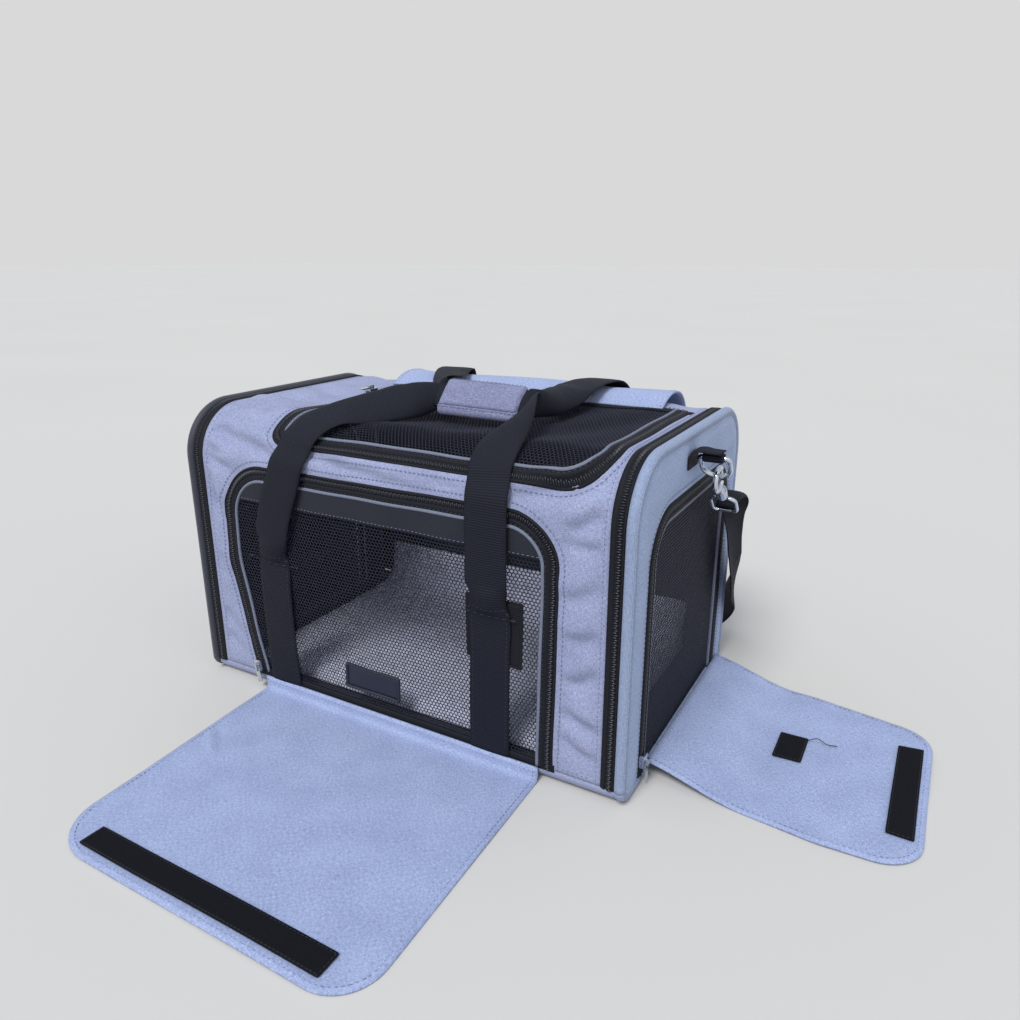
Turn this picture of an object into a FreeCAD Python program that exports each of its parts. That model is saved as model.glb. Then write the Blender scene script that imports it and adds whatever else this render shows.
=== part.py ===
import FreeCAD, Part
import math
import os

# Soft-sided pet carrier bag with two zip-in end panels, mesh doors, privacy flaps,
# two webbing handles joined by a grip wrap, and a clip-on shoulder strap.
# Millimetres. Origin: centre of the base, on the surface the bag stands on.
# +X runs along the bag to its right end, +Y to its rear, +Z up.

V = FreeCAD.Vector
X_AXIS = V(1, 0, 0)
Y_AXIS = V(0, 1, 0)
Z_AXIS = V(0, 0, 1)

# ---- driving dimensions ----
LENGTH = 460.0            # outside of one end panel to the other
DEPTH = 280.0             # front to rear
HEIGHT = 280.0            # base to top
TOP_RADIUS = 50.0         # rounding along the two top edges
BASE_RADIUS = 14.0        # rounding along the two base edges, and height of the base fabric
FABRIC = 2.5              # padded polyester wall
FLAP = 2.4                # lined flap
MESH = 1.0
WEBBING = 1.8             # handle and strap webbing
WEBBING_WIDTH = 38.0
TAPE_WIDTH = 15.0         # zipper tape showing round each opening
COIL_WIDTH = 4.0
PIPING_WIDTH = 3.5
GAP = 0.3                 # running clearance between pieces that move past each other

END_X = LENGTH / 2
PANEL_THICK = 4.0         # stiffened end panel
RIM_INNER_X = END_X - 5.0
RIM_OUTER_X = END_X + 2.0
RIM_PROUD = 2.5
BODY_X = RIM_INNER_X - 14.0     # where the bag's fabric meets the end zipper

# layers measured outwards from the nominal surface
TAPE_BACK = -1.6
TAPE_FACE = 0.2
COIL_FACE = 2.0
MESH_BACK = -1.6
MESH_FACE = -0.6

# ---- openings: (u, v) corners, anticlockwise, with the radius at each corner ----
# the side list says which sides carry zipper: 1 zipped, 0 sewn hinge
FRONT_DOOR = [(-167.0, BASE_RADIUS), (171.0, BASE_RADIUS), (174.0, 237.0), (-188.0, 235.0), (-190.0, 130.0)]
FRONT_RADII = [0.0, 0.0, 46.0, 56.0, 150.0]
FRONT_SIDES = [0.0, 1.0, 1.0, 1.0, 1.0]

TOP_HINGE_Y = 66.0
TOP_DOOR = [(-130.0, -135.5), (207.0, -135.5), (205.0, TOP_HINGE_Y), (-130.0, TOP_HINGE_Y)]
TOP_DOOR_RADII = [16.0, 44.0, 0.0, 0.0]
TOP_SIDES = [0.6, 1.0, 0.0, 1.0]      # the front side lies on the sloping top edge

END_SILL = 8.0
END_DOOR = [(-110.0, END_SILL), (115.0, END_SILL), (115.0, 236.0), (-110.0, 236.0)]
END_RADII = [0.0, 0.0, 46.0, 46.0]
END_SIDES = [0.0, 1.0, 1.0, 1.0]

# ---- flaps ----
FRONT_HINGE = V(0, -146.5, 1.5)
FRONT_FLAP_X = (-142.0, 162.0)
FRONT_FLAP_END = -384.0
END_HINGE_X = 234.0
END_HINGE_Z = 14.0
RIGHT_FLAP_END = 441.0
LEFT_FLAP_X = END_HINGE_X + 0.4
LEFT_FLAP_TOP = 226.0
TOP_FLAP_X = (-135.0, 176.0)
HOOK_TAPE = 1.2           # thickness of the hook-and-loop tape

# ---- strap clips ----
CLIP_X = END_X + 19.5     # middle of the D-ring's bar
CLIP_Y = -22.0
CLIP_Z = 263.0
SLIDER_Z = 23.0           # height of the lowered sliders
CLIP_TILT = {"right": 42.0, "left": 75.0}   # the strap draws each clip towards the rear
RING_WIRE = 2.0
RING_HALF = 12.0
RING_DROP = 26.0
CROOK_RADIUS = 10.0
CROOK_WIRE = 2.2
CROOK_DROP = RING_DROP + CROOK_RADIUS - CROOK_WIRE - RING_WIRE - 0.4

# ---- grip wrap: the sleeve that holds both handles together ----
GRIP_LEFT = V(5, -43, 297.5)
GRIP_RIGHT = V(87, -41, 296)
GRIP_ACROSS = V(0.10, 0.70, 0.71)
GRIP_WIDTH = 38.0
GRIP_THICK = 12.0
GRIP_WALL = 2.4

NODES = {}


# ---- general shapes ----

def rounded_wire(corners, radii, place):
    """Closed wire through (u, v) corners with a fillet at each; place turns V(u, v, 0) into a point."""
    points = [V(u, v, 0) for u, v in corners]
    turns = []
    for i, here in enumerate(points):
        to_last = (points[i - 1] - here).normalize()
        to_next = (points[(i + 1) % len(points)] - here).normalize()
        if radii[i] == 0:
            turns.append((here, None, here))
            continue
        half = to_last.getAngle(to_next) / 2
        reach = radii[i] / math.tan(half)
        bisector = (to_last + to_next).normalize()
        middle = here + bisector * (radii[i] / math.sin(half) - radii[i])
        turns.append((here + to_last * reach, middle, here + to_next * reach))
    edges = []
    for i, (start, middle, end) in enumerate(turns):
        if middle is not None:
            edges.append(Part.Arc(place(start), place(middle), place(end)).toShape())
        following = turns[(i + 1) % len(turns)][0]
        edges.append(Part.LineSegment(place(end), place(following)).toShape())
    return Part.Wire(edges)


def rounded_face(corners, radii, place):
    return Part.Face(rounded_wire(corners, radii, place))


def inset(corners, radii, distances):
    """Move side i (from corner i to the next) inwards by distances[i]."""
    sides = []
    for i, (u, v) in enumerate(corners):
        start = V(u, v, 0)
        along = (V(*corners[(i + 1) % len(corners)], 0) - start).normalize()
        inward = V(-along.y, along.x, 0)
        sides.append((start + inward * distances[i], along))
    moved = []
    for i in range(len(sides)):
        start, along = sides[i - 1]
        other, across = sides[i]
        gap = other - start
        share = (gap.x * across.y - gap.y * across.x) / (along.x * across.y - along.y * across.x)
        meet = start + along * share
        moved.append((meet.x, meet.y))
    tightened = [max(r - max(distances), 1.0) if r else 0.0 for r in radii]
    return moved, tightened


def box(low, high):
    size = V(*high) - V(*low)
    return Part.makeBox(size.x, size.y, size.z, V(*low))


def rod(path, radius):
    """Round bar swept along a wire."""
    edge = path.OrderedEdges[0]
    start = path.OrderedVertexes[0].Point
    tangent = edge.tangentAt(edge.FirstParameter)
    ring = Part.Wire(Part.Circle(start, tangent, radius).toShape())
    return path.makePipeShell([ring], True, True)


def ribbon(stations, thickness):
    """Webbing or cloth through stations of (centre, direction across, width)."""
    rings = []
    last = len(stations) - 1
    for i, (centre, across, width) in enumerate(stations):
        ahead = V(*stations[min(i + 1, last)][0]) - V(*stations[max(i - 1, 0)][0])
        ahead.normalize()
        side = V(*across)
        side = (side - ahead * side.dot(ahead)).normalize() * (width / 2)
        up = ahead.cross(side).normalize() * (thickness / 2)
        middle = V(*centre)
        rings.append([middle - side - up, middle + side - up, middle + side + up, middle - side + up])
    faces = [polygon(rings[0][::-1]), polygon(rings[-1])]
    for first, second in zip(rings, rings[1:]):
        for i in range(4):
            j = (i + 1) % 4
            faces.append(polygon([first[i], first[j], second[j]]))
            faces.append(polygon([first[i], second[j], second[i]]))
    return Part.Solid(Part.Shell(faces)).removeSplitter()


def polygon(points):
    return Part.Face(Part.makePolygon(points + points[:1]))


# ---- the bag's cross-section ----

def section(grow, x_start, x_end):
    """The bag's rounded outline, grown outwards by grow, as a bar from x_start to x_end."""
    half = DEPTH / 2 + grow
    corners = [(-half, -grow), (half, -grow), (half, HEIGHT + grow), (-half, HEIGHT + grow)]
    radii = [BASE_RADIUS + grow, BASE_RADIUS + grow, TOP_RADIUS + grow, TOP_RADIUS + grow]
    face = rounded_face(corners, radii, lambda p: V(x_start, p.x, p.y))
    return face.extrude(X_AXIS * (x_end - x_start))


def skin(outer, inner, x_start, x_end):
    """Layer between two growths of the cross-section."""
    return section(outer, x_start, x_end).cut(section(inner, x_start - 1, x_end + 1))


def wedge(corners, x_start, x_end):
    """Bar along X with a (y, z) polygon as its section, for dividing the shell into panels."""
    face = polygon([V(x_start, y, z) for y, z in corners])
    return face.extrude(X_AXIS * (x_end - x_start))


ABOVE_SEAM = box((-300, -200, BASE_RADIUS), (300, 200, 320))
SEAM_Y = DEPTH / 2 - TOP_RADIUS
SEAM_Z = HEIGHT - TOP_RADIUS
FAR = 80.0


# ---- the three kinds of opening ----

def front_slab(depth_in, back, face):
    """Slab of the front door's outline, moved in by depth_in, between two layers of the front wall."""
    corners, radii = inset(FRONT_DOOR, FRONT_RADII, [depth_in * side for side in FRONT_SIDES])
    shape = rounded_face(corners, radii, lambda p: V(p.x, -DEPTH / 2 - back, p.y))
    return shape.extrude(Y_AXIS * (back - face))


def top_slab(depth_in):
    """Upright prism of the top door's outline."""
    corners, radii = inset(TOP_DOOR, TOP_DOOR_RADII, [depth_in * side for side in TOP_SIDES])
    shape = rounded_face(corners, radii, lambda p: V(p.x, p.y, SEAM_Z))
    return shape.extrude(Z_AXIS * FAR)


def end_slab(depth_in, back, face, sill=END_SILL):
    """Slab of the right end door's outline between two layers of the end panel."""
    corners, radii = inset(END_DOOR, END_RADII, [depth_in * side for side in END_SIDES])
    corners[0] = (corners[0][0], sill)
    corners[1] = (corners[1][0], sill)
    shape = rounded_face(corners, radii, lambda p: V(END_X + back, p.x, p.y))
    return shape.extrude(X_AXIS * (face - back))


COIL_IN = (TAPE_WIDTH - COIL_WIDTH) / 2
COIL_OUT = COIL_IN + COIL_WIDTH
MESH_IN = TAPE_WIDTH + PIPING_WIDTH


def mirrored(shape):
    return shape.mirror(V(0, 0, 0), X_AXIS)


# ---- fabric body ----

def make_walls():
    """Front, rear, top and base fabric, with the front and top openings cut out."""
    shell = skin(0, -FABRIC, -BODY_X, BODY_X)
    front = [(-DEPTH, BASE_RADIUS), (-SEAM_Y, BASE_RADIUS), (-SEAM_Y, SEAM_Z), (-SEAM_Y - FAR, SEAM_Z + FAR),
             (-DEPTH, SEAM_Z + FAR)]
    rear = [(-y, z) for y, z in front]
    top = [(-SEAM_Y - FAR, SEAM_Z + FAR), (-SEAM_Y, SEAM_Z), (SEAM_Y, SEAM_Z), (SEAM_Y + FAR, SEAM_Z + FAR)]
    top_hole = top_slab(0)
    front_hole = front_slab(0, -10, 10)
    NODES["front_panel"] = shell.common(wedge(front, -BODY_X, BODY_X)).cut(front_hole).cut(top_hole)
    NODES["rear_panel"] = shell.common(wedge(rear, -BODY_X, BODY_X))
    NODES["top_panel"] = shell.common(wedge(top, -BODY_X, BODY_X)).cut(top_hole)
    base = skin(0, -FABRIC, -RIM_INNER_X, RIM_INNER_X)
    NODES["base_panel"] = base.cut(ABOVE_SEAM)


def make_base():
    """Stiff board and the fleece mat on it, whose rear edge turns up against the rear wall."""
    board_z = FABRIC + 0.5
    mat_z = board_z + 3.3
    NODES["base_board"] = box((-205, -122, board_z), (205, 122, board_z + 3))
    profile = [(-124, mat_z), (126, mat_z), (133, 16), (134, 72), (122, 72), (119, 30), (110, 22), (-124, 22)]
    radii = [3, 6, 6, 5, 5, 8, 12, 6]
    face = rounded_face(profile, radii, lambda p: V(-200, p.x, p.y))
    NODES["comfort_mat"] = face.extrude(X_AXIS * 400)


def make_end_panels():
    """Stiffened end panels, their rims, the zippers that join them to the bag, and the hoops inside."""
    panel = section(-RIM_PROUD, END_X - PANEL_THICK, END_X).cut(end_slab(0, -PANEL_THICK - 1, 1))
    zipper = skin(TAPE_FACE, TAPE_BACK, BODY_X, RIM_INNER_X)
    coil_x = (BODY_X + RIM_INNER_X) / 2
    coil = skin(COIL_FACE, TAPE_FACE, coil_x - COIL_WIDTH / 2, coil_x + COIL_WIDTH / 2)
    zipper = zipper.fuse(coil).common(ABOVE_SEAM)
    rim = skin(RIM_PROUD, -RIM_PROUD, RIM_INNER_X, RIM_OUTER_X).common(box((0, -200, 0), (300, 200, 320)))
    half = DEPTH / 2 - 5.5
    hoop_corners = [(-half, 5.5), (half, 5.5), (half, HEIGHT - 5.5), (-half, HEIGHT - 5.5)]
    hoop_radii = [BASE_RADIUS - 5, BASE_RADIUS - 5, TOP_RADIUS - 5, TOP_RADIUS - 5]
    hoop = rod(rounded_wire(hoop_corners, hoop_radii, lambda p: V(END_X - 9, p.x, p.y)), 1.5)
    NODES["end_panel_right"] = panel
    NODES["end_panel_left"] = mirrored(panel)
    NODES["end_zipper_right"] = zipper
    NODES["end_zipper_left"] = mirrored(zipper)
    NODES["wire_frames"] = Part.makeCompound([hoop, mirrored(hoop)])
    return rim


# ---- doors ----

def make_front_door():
    NODES["front_zipper"] = front_slab(0, TAPE_BACK, TAPE_FACE).cut(
        front_slab(TAPE_WIDTH, TAPE_BACK - 1, TAPE_FACE + 1)).fuse(
        front_slab(COIL_IN, TAPE_FACE, COIL_FACE).cut(front_slab(COIL_OUT, TAPE_FACE - 1, COIL_FACE + 1)))
    inner = front_slab(MESH_IN, TAPE_BACK - 1, COIL_FACE + 1)
    piping = front_slab(TAPE_WIDTH, TAPE_BACK, COIL_FACE).cut(inner)
    NODES["front_mesh"] = front_slab(MESH_IN, MESH_BACK, MESH_FACE)
    band = front_slab(MESH_IN, MESH_FACE, MESH_FACE + 1.8)
    NODES["front_loop_band"] = band.common(box((-300, -200, 197), (300, 0, 300)))
    face_y = -DEPTH / 2 - MESH_FACE
    NODES["label_patch"] = box((-49, face_y - 1.4, 30), (14, face_y, 55))
    NODES["webbing_patch"] = box((86, face_y - 0.8, 98), (139, face_y, 156))
    return piping


def make_top_door():
    tape = skin(TAPE_FACE, TAPE_BACK, -BODY_X, BODY_X).common(top_slab(0).cut(top_slab(TAPE_WIDTH)))
    coil = skin(COIL_FACE, TAPE_FACE, -BODY_X, BODY_X).common(top_slab(COIL_IN).cut(top_slab(COIL_OUT)))
    piping = skin(COIL_FACE, TAPE_BACK, -BODY_X, BODY_X).common(top_slab(TAPE_WIDTH).cut(top_slab(MESH_IN)))
    NODES["top_zipper"] = tape.fuse(coil)
    NODES["top_mesh"] = skin(MESH_FACE, MESH_BACK, -BODY_X, BODY_X).common(top_slab(MESH_IN))
    return piping


def make_end_doors():
    """Mesh doors of both ends: the zipper stays on the panel, mesh and piping swing with the door."""
    tape = end_slab(0, TAPE_BACK, TAPE_FACE).cut(end_slab(TAPE_WIDTH, TAPE_BACK - 1, TAPE_FACE + 1))
    coil = end_slab(COIL_IN, TAPE_FACE, COIL_FACE).cut(end_slab(COIL_OUT, TAPE_FACE - 1, COIL_FACE + 1))
    sill = END_SILL + 2.3
    edge = TAPE_WIDTH + GAP
    piping = end_slab(edge, -3.5, 1.0, sill).cut(end_slab(MESH_IN, -5, 2, sill - 1))
    mesh = end_slab(MESH_IN, -2.8, -1.8, sill)
    zipper = tape.fuse(coil)
    for side, place in (("right", lambda s: s), ("left", mirrored)):
        NODES["door_zipper_" + side] = place(zipper)
        NODES["door_piping_" + side] = place(piping)
        NODES["door_mesh_" + side] = place(mesh)


# ---- privacy flaps ----

def make_front_flap():
    """Open flap lying flat in front of the bag, with the hook tape along its free edge."""
    left, right = FRONT_FLAP_X
    corners = [(left, FRONT_FLAP_END), (right, FRONT_FLAP_END), (right - 4, FRONT_HINGE.y),
               (left - 2, FRONT_HINGE.y)]
    low = FRONT_HINGE.z - FLAP / 2
    face = rounded_face(corners, [48, 36, 0, 0], lambda p: V(p.x, p.y, low))
    NODES["front_flap"] = face.extrude(Z_AXIS * FLAP)
    NODES["front_flap_tape"] = box((-105, -376, low + FLAP), (128, -356, low + FLAP + HOOK_TAPE))


def make_right_flap():
    """Open flap: slopes from its hinge to the floor, a little askew, then lies flat."""
    low = 0.3
    drop_x = 300.0
    profile = [(END_HINGE_X, END_HINGE_Z - FLAP / 2), (drop_x, low), (RIGHT_FLAP_END, low),
               (RIGHT_FLAP_END, low + FLAP), (drop_x, low + FLAP), (END_HINGE_X, END_HINGE_Z + FLAP / 2)]
    sheet = rounded_face(profile, [0, 150, 0, 0, 148, 0], lambda p: V(p.x, -150, p.y)).extrude(Y_AXIS * 300)
    outline = [(END_HINGE_X - 1, -90), (370, -106), (RIGHT_FLAP_END, -104), (RIGHT_FLAP_END, 86),
               (END_HINGE_X - 1, 122)]
    cutter = rounded_face(outline, [0, 60, 34, 40, 0], lambda p: V(p.x, p.y, -5)).extrude(Z_AXIS * 40)
    NODES["right_flap"] = sheet.common(cutter)
    top = low + FLAP
    NODES["right_flap_tape"] = box((414, -72, top), (434, 52, top + HOOK_TAPE))
    NODES["right_flap_patch"] = box((319, -14, top), (343, 26, top + 0.8))


def make_left_flap():
    """Closed flap standing against the left end, held by its hook tape."""
    outer = -LEFT_FLAP_X - FLAP / 2
    corners = [(-92, END_HINGE_Z), (95, END_HINGE_Z), (95, LEFT_FLAP_TOP), (-92, LEFT_FLAP_TOP)]
    face = rounded_face(corners, [0, 0, 50, 46], lambda p: V(outer, p.x, p.y))
    NODES["left_flap"] = face.extrude(X_AXIS * FLAP)
    inner = outer + FLAP
    NODES["left_flap_tape"] = box((inner, -40, 200), (inner + 1.0, 40, 220))


def make_top_flap():
    """Flap of the top opening, turned back: it arches off its hinge and hangs down behind the bag."""
    route = [(66, 281.6), (76, 287.5), (90, 291.5), (105, 292), (119, 288.5), (131, 280), (139.5, 267),
             (142.6, 250), (143, 230), (143, 150)]
    middle = (TOP_FLAP_X[0] + TOP_FLAP_X[1]) / 2
    width = TOP_FLAP_X[1] - TOP_FLAP_X[0]
    stations = [((middle, y, z), (1, 0, 0), width) for y, z in route]
    NODES["top_flap"] = ribbon(stations, FLAP - 0.4)


# ---- webbing ----

def make_sewn_webbing():
    """Handle legs sewn up the front and rear walls, free above the sewn part, to the top edges."""
    face = DEPTH / 2 + 1.2
    left = [(-124, 3, face), (-127, 70, face), (-128.5, 143, face), (-127, 154, face + 3.6),
            (-118, 190, face + 4), (-104, 224, face + 4), (-97, 243, face + 2.4), (-93, 254, face - 3.4)]
    right = [(109, 3, face), (109, 143, face), (109, 154, face + 3.6), (109, 224, face + 4),
             (108.5, 243, face + 2.4), (108, 254, face - 3.4)]
    for side, route in (("left", left), ("right", right)):
        stations = [((x, -y, z), (1, 0, 0), WEBBING_WIDTH) for x, z, y in route]
        NODES["front_webbing_" + side] = ribbon(stations, WEBBING)
    rear = []
    for x in (-95, 100):
        route = [(3, face), (128, face), (142, face + 4.6), (224, face + 5.4), (243, face + 4.6),
                 (254, face + 4)]
        rear.append(ribbon([((x, y, z), (1, 0, 0), WEBBING_WIDTH) for z, y in route], WEBBING))
    NODES["rear_webbing"] = Part.makeCompound(rear)


def grip_axes():
    along = (GRIP_RIGHT - GRIP_LEFT).normalize()
    across = (GRIP_ACROSS - along * GRIP_ACROSS.dot(along)).normalize()
    return along, across, along.cross(across)


def make_handles():
    """Two webbing loops lying on the top, and the wrap that closes round both of them."""
    along, across, facing = grip_axes()
    turn = FreeCAD.Matrix(along.x, across.x, facing.x, GRIP_LEFT.x,
                          along.y, across.y, facing.y, GRIP_LEFT.y,
                          along.z, across.z, facing.z, GRIP_LEFT.z, 0, 0, 0, 1)
    length = (GRIP_RIGHT - GRIP_LEFT).Length
    wrap = box((0, -GRIP_WIDTH / 2, -GRIP_THICK / 2), (length, GRIP_WIDTH / 2, GRIP_THICK / 2))
    wrap = wrap.makeFillet(GRIP_THICK / 2 - 0.5, [e for e in wrap.Edges if abs(e.tangentAt(0).x) > 0.9])
    inner_w = GRIP_WIDTH / 2 - GRIP_WALL - 1
    inner_t = GRIP_THICK / 2 - GRIP_WALL
    wrap = wrap.cut(box((-1, -inner_w, -inner_t), (length + 1, inner_w, inner_t)))
    wrap = wrap.transformGeometry(turn)
    NODES["grip_wrap"] = wrap

    lane = facing * 1.6
    width = 26.0
    front = [((-90.4, -134.6, 261.6), (1, 0, 0), WEBBING_WIDTH),
             ((-84, -124.6, 273), (1, -0.19, -0.16), WEBBING_WIDTH),
             ((-68, -106, 285.5), (0.8, -0.57, -0.19), WEBBING_WIDTH),
             ((-44, -83, 292.5), (0.62, -0.7, -0.2), 36),
             ((-16, -60, 299), (0.25, -0.75, -0.55), 30),
             (tuple(GRIP_LEFT - along * 4 - lane), tuple(across * -1), width),
             (tuple(GRIP_RIGHT + along * 4 - lane), tuple(across * -1), width),
             ((98, -50, 294), (-0.15, -0.2, -0.95), 20),
             ((101, -64, 293), (-0.5, 0, -0.85), 21),
             ((103, -82, 290.5), (-0.85, 0, -0.5), 28),
             ((105, -104, 284), (-1, 0, -0.1), 34),
             ((106.5, -122.6, 274), (-1, 0, 0), WEBBING_WIDTH),
             ((107.2, -134.6, 261.6), (-1, 0, 0), WEBBING_WIDTH)]
    NODES["handle_front"] = ribbon(front, WEBBING)
    rear = [((-94, 143.2, 264.5), (1, 0, 0), WEBBING_WIDTH),
            ((-91, 137.2, 281.5), (1, 0, 0), WEBBING_WIDTH),
            ((-85, 122, 294), (1, 0.1, 0), WEBBING_WIDTH),
            ((-76, 100, 297.5), (0.95, 0.3, 0), WEBBING_WIDTH),
            ((-52, 52, 299), (0.8, 0.5, 0.1), 34),
            ((-24, 6, 299.5), (0.6, 0.6, 0.5), 30),
            ((-8, -20, 299.5), (0.2, 0.65, 0.7), 27),
            (tuple(GRIP_LEFT - along * 4 + lane), tuple(across), width),
            (tuple(GRIP_RIGHT + along * 4 + lane), tuple(across), width),
            ((99, -30, 294.5), (0, 0.3, 0.95), 19),
            ((101, -14, 294.5), (-0.5, 0, 0.85), 21),
            ((98, 12, 295.5), (-0.85, 0, 0.5), 30),
            ((94, 50, 297), (-1, 0, 0.1), WEBBING_WIDTH),
            ((95, 100, 297.5), (-1, 0, 0), WEBBING_WIDTH),
            ((97, 122, 294), (-1, 0, 0), WEBBING_WIDTH),
            ((99, 137.2, 281.5), (-1, 0, 0), WEBBING_WIDTH),
            ((100, 143.2, 264.5), (-1, 0, 0), WEBBING_WIDTH)]
    NODES["handle_rear"] = ribbon(rear, WEBBING)


def make_shoulder_strap():
    """Strap from clip to clip: over and down at the right, along the floor behind, up at the left."""
    upright = (0.1, 0, 1)
    stations = [((250, 31, 209.5), (1, 0, 0), 17),
                ((250, 41, 214), (1, 0, 0), 18),
                ((249.5, 55, 213), (1, 0.1, 0), 19),
                ((248.5, 68, 202), (0.85, 0.4, 0.3), 21),
                ((247, 80, 180), (0.35, 0.75, 0.55), 25),
                ((246, 92, 152), (0.1, 0.85, 0.5), 31),
                ((246, 105, 124), (0, 0.9, 0.4), 35),
                ((243.5, 122, 100), (-0.1, 0.9, 0.3), WEBBING_WIDTH),
                ((237, 146, 78), (-0.4, 0.85, 0), WEBBING_WIDTH),
                ((224, 168, 50), (-0.5, 0.85, -0.1), WEBBING_WIDTH),
                ((202, 187, 19), (-0.3, 0.95, 0), WEBBING_WIDTH),
                ((172, 203, 3.5), (-0.1, 1, 0), WEBBING_WIDTH),
                ((130, 206, 1.4), (0, 1, 0), WEBBING_WIDTH),
                ((60, 201, 1.4), (0.1, 1, 0), WEBBING_WIDTH),
                ((-20, 190, 1.4), (0.1, 1, 0), WEBBING_WIDTH),
                ((-95, 186, 1.4), (0, 1, 0), WEBBING_WIDTH),
                ((-150, 190, 1.6), (-0.1, 1, 0), WEBBING_WIDTH),
                ((-186, 193, 12), (-0.2, 0.95, 0), WEBBING_WIDTH),
                ((-214, 190, 42), (-0.3, 0.9, 0), WEBBING_WIDTH),
                ((-234, 182, 84), (0.2, 0.9, 0.2), WEBBING_WIDTH),
                ((-246, 170, 132), (0.15, 0.9, 0.35), 36),
                ((-252, 152, 178), (0.1, 0.75, 0.65), 32),
                ((-253, 124, 212), (-0.3, 0.5, 0.8), 27),
                ((-251, 92, 230), (-0.8, 0.1, 0.6), 22),
                ((-250, 58, 243.5), (-1, 0, 0), 17)]
    NODES["shoulder_strap"] = ribbon(stations, WEBBING)
    strap_y = 195.0
    strap_x = 20.0
    half = WEBBING_WIDTH / 2
    rails = []
    for side in (-1, 1):
        rail_y = strap_y + side * (half + 5)
        rails.append(box((strap_x - 14, rail_y - 2, 0.2), (strap_x + 14, rail_y + 2, 6)))
    bars = [box((strap_x + at - 2, strap_y - half - 5, 3.2), (strap_x + at + 2, strap_y + half + 5, 6))
            for at in (-12, 0, 12)]
    NODES["strap_adjuster"] = rails[0].multiFuse(rails[1:] + bars).removeSplitter()


# ---- strap clips ----

def clip_place(side):
    """Place of a clip: its bar lies along X, and the chain below it leans to the rear."""
    sign = 1 if side == "right" else -1
    turn = FreeCAD.Rotation(X_AXIS, CLIP_TILT[side])
    return FreeCAD.Placement(V(sign * CLIP_X, CLIP_Y, CLIP_Z), turn)


def chain_point(drop):
    return V(0, 0, -drop)


def d_ring():
    corners = [(-RING_HALF, 0), (-RING_HALF, -RING_DROP), (RING_HALF, -RING_DROP), (RING_HALF, 0)]
    round_end = RING_HALF - 0.01
    return rod(rounded_wire(corners, [3, round_end, round_end, 3], lambda p: V(p.x, 0, p.y)), RING_WIRE)


def snap_hook():
    """Crook with its nose towards +Y, a stem and the barrel that the eye's pin turns in."""
    centre = chain_point(CROOK_DROP)
    nose = math.radians(20)
    start = centre + V(0, math.cos(nose), math.sin(nose)) * CROOK_RADIUS
    tangent = V(0, -math.sin(nose), math.cos(nose))
    disc = Part.Face(Part.Wire(Part.Circle(start, tangent, CROOK_WIRE).toShape()))
    crook = disc.revolve(centre, X_AXIS, 280)
    barrel = Part.makeCylinder(5, 9, chain_point(56), Z_AXIS)
    stem = Part.makeCylinder(3, 7, chain_point(49), Z_AXIS)
    bore = Part.makeCylinder(2.2, 8, chain_point(57), Z_AXIS)
    return crook.fuse(stem).fuse(barrel).cut(bore)


def hook_gate():
    foot = chain_point(CROOK_DROP) + V(0, 7.0, -6.6)
    tip = chain_point(CROOK_DROP) + V(0, 9.0, 0.9)
    return Part.makeCylinder(1.4, (tip - foot).Length, foot, tip - foot)


def hook_eye():
    """Eye that the strap passes through, with the pin it turns on."""
    corners = [(-10.5, -60), (-10.5, -80), (10.5, -80), (10.5, -60)]
    loop = rod(rounded_wire(corners, [5, 5, 5, 5], lambda p: V(p.x, 0, p.y)), 1.8)
    pin = Part.makeCylinder(2.0, 9.5, chain_point(60), Z_AXIS)
    collar = Part.makeCylinder(4.0, 2.0, chain_point(58.5), Z_AXIS)
    return loop.fuse(pin).fuse(collar)


def make_clips():
    tabs = []
    for side, sign in (("right", 1), ("left", -1)):
        place = clip_place(side)
        for name, shape in (("d_ring", d_ring()), ("snap_hook", snap_hook()), ("hook_gate", hook_gate()),
                            ("hook_eye", hook_eye())):
            shape.Placement = place
            NODES[name + "_" + side] = shape
        sleeve = Part.makeCylinder(4.6, 17, V(CLIP_X - 8.5, CLIP_Y, CLIP_Z), X_AXIS)
        bore = Part.makeCylinder(2.6, 19, V(CLIP_X - 9.5, CLIP_Y, CLIP_Z), X_AXIS)
        plate = box((END_X, CLIP_Y - 13, 252), (END_X + 2, CLIP_Y + 13, 273))
        arm = box((END_X + 1, CLIP_Y - 2, CLIP_Z + 3), (CLIP_X + 8.5, CLIP_Y + 2, CLIP_Z + 5.4))
        tab = plate.fuse(arm).fuse(sleeve).cut(bore)
        tabs.append(tab if sign > 0 else mirrored(tab))
    NODES["ring_tabs"] = Part.makeCompound(tabs)


# ---- zipper sliders ----

def slider():
    """Slider in its own frame: it runs along Z, and faces -Y away from the tape."""
    body = box((-4.5, -4.6, -6), (4.5, -GAP, 6))
    body = body.makeFillet(1.6, [e for e in body.Edges if abs(e.tangentAt(0).y) > 0.9])
    body = body.cut(box((-2.4, -2.3, -7), (2.4, 0, 7)))
    bridge = box((-1, -7.6, -3.4), (1, -4, 3.4)).cut(box((-2, -6.6, -2.2), (2, -4.6, 2.2)))
    return body.fuse(bridge)


def pull():
    """Pull that hangs from the slider's bridge."""
    frame = box((-2.9, -6.15, -7), (2.9, -5.05, 0.5)).cut(box((-1.6, -7, -5.4), (1.6, -4, -0.5)))
    plate = box((-2.9, -6.15, -17), (2.9, -5.05, -7))
    plate = plate.fuse(frame).removeSplitter()
    low_corners = [e for e in plate.Edges if abs(e.tangentAt(0).y) > 0.9 and e.BoundBox.ZMax < -10]
    return plate.makeFillet(1.4, low_corners)


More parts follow.
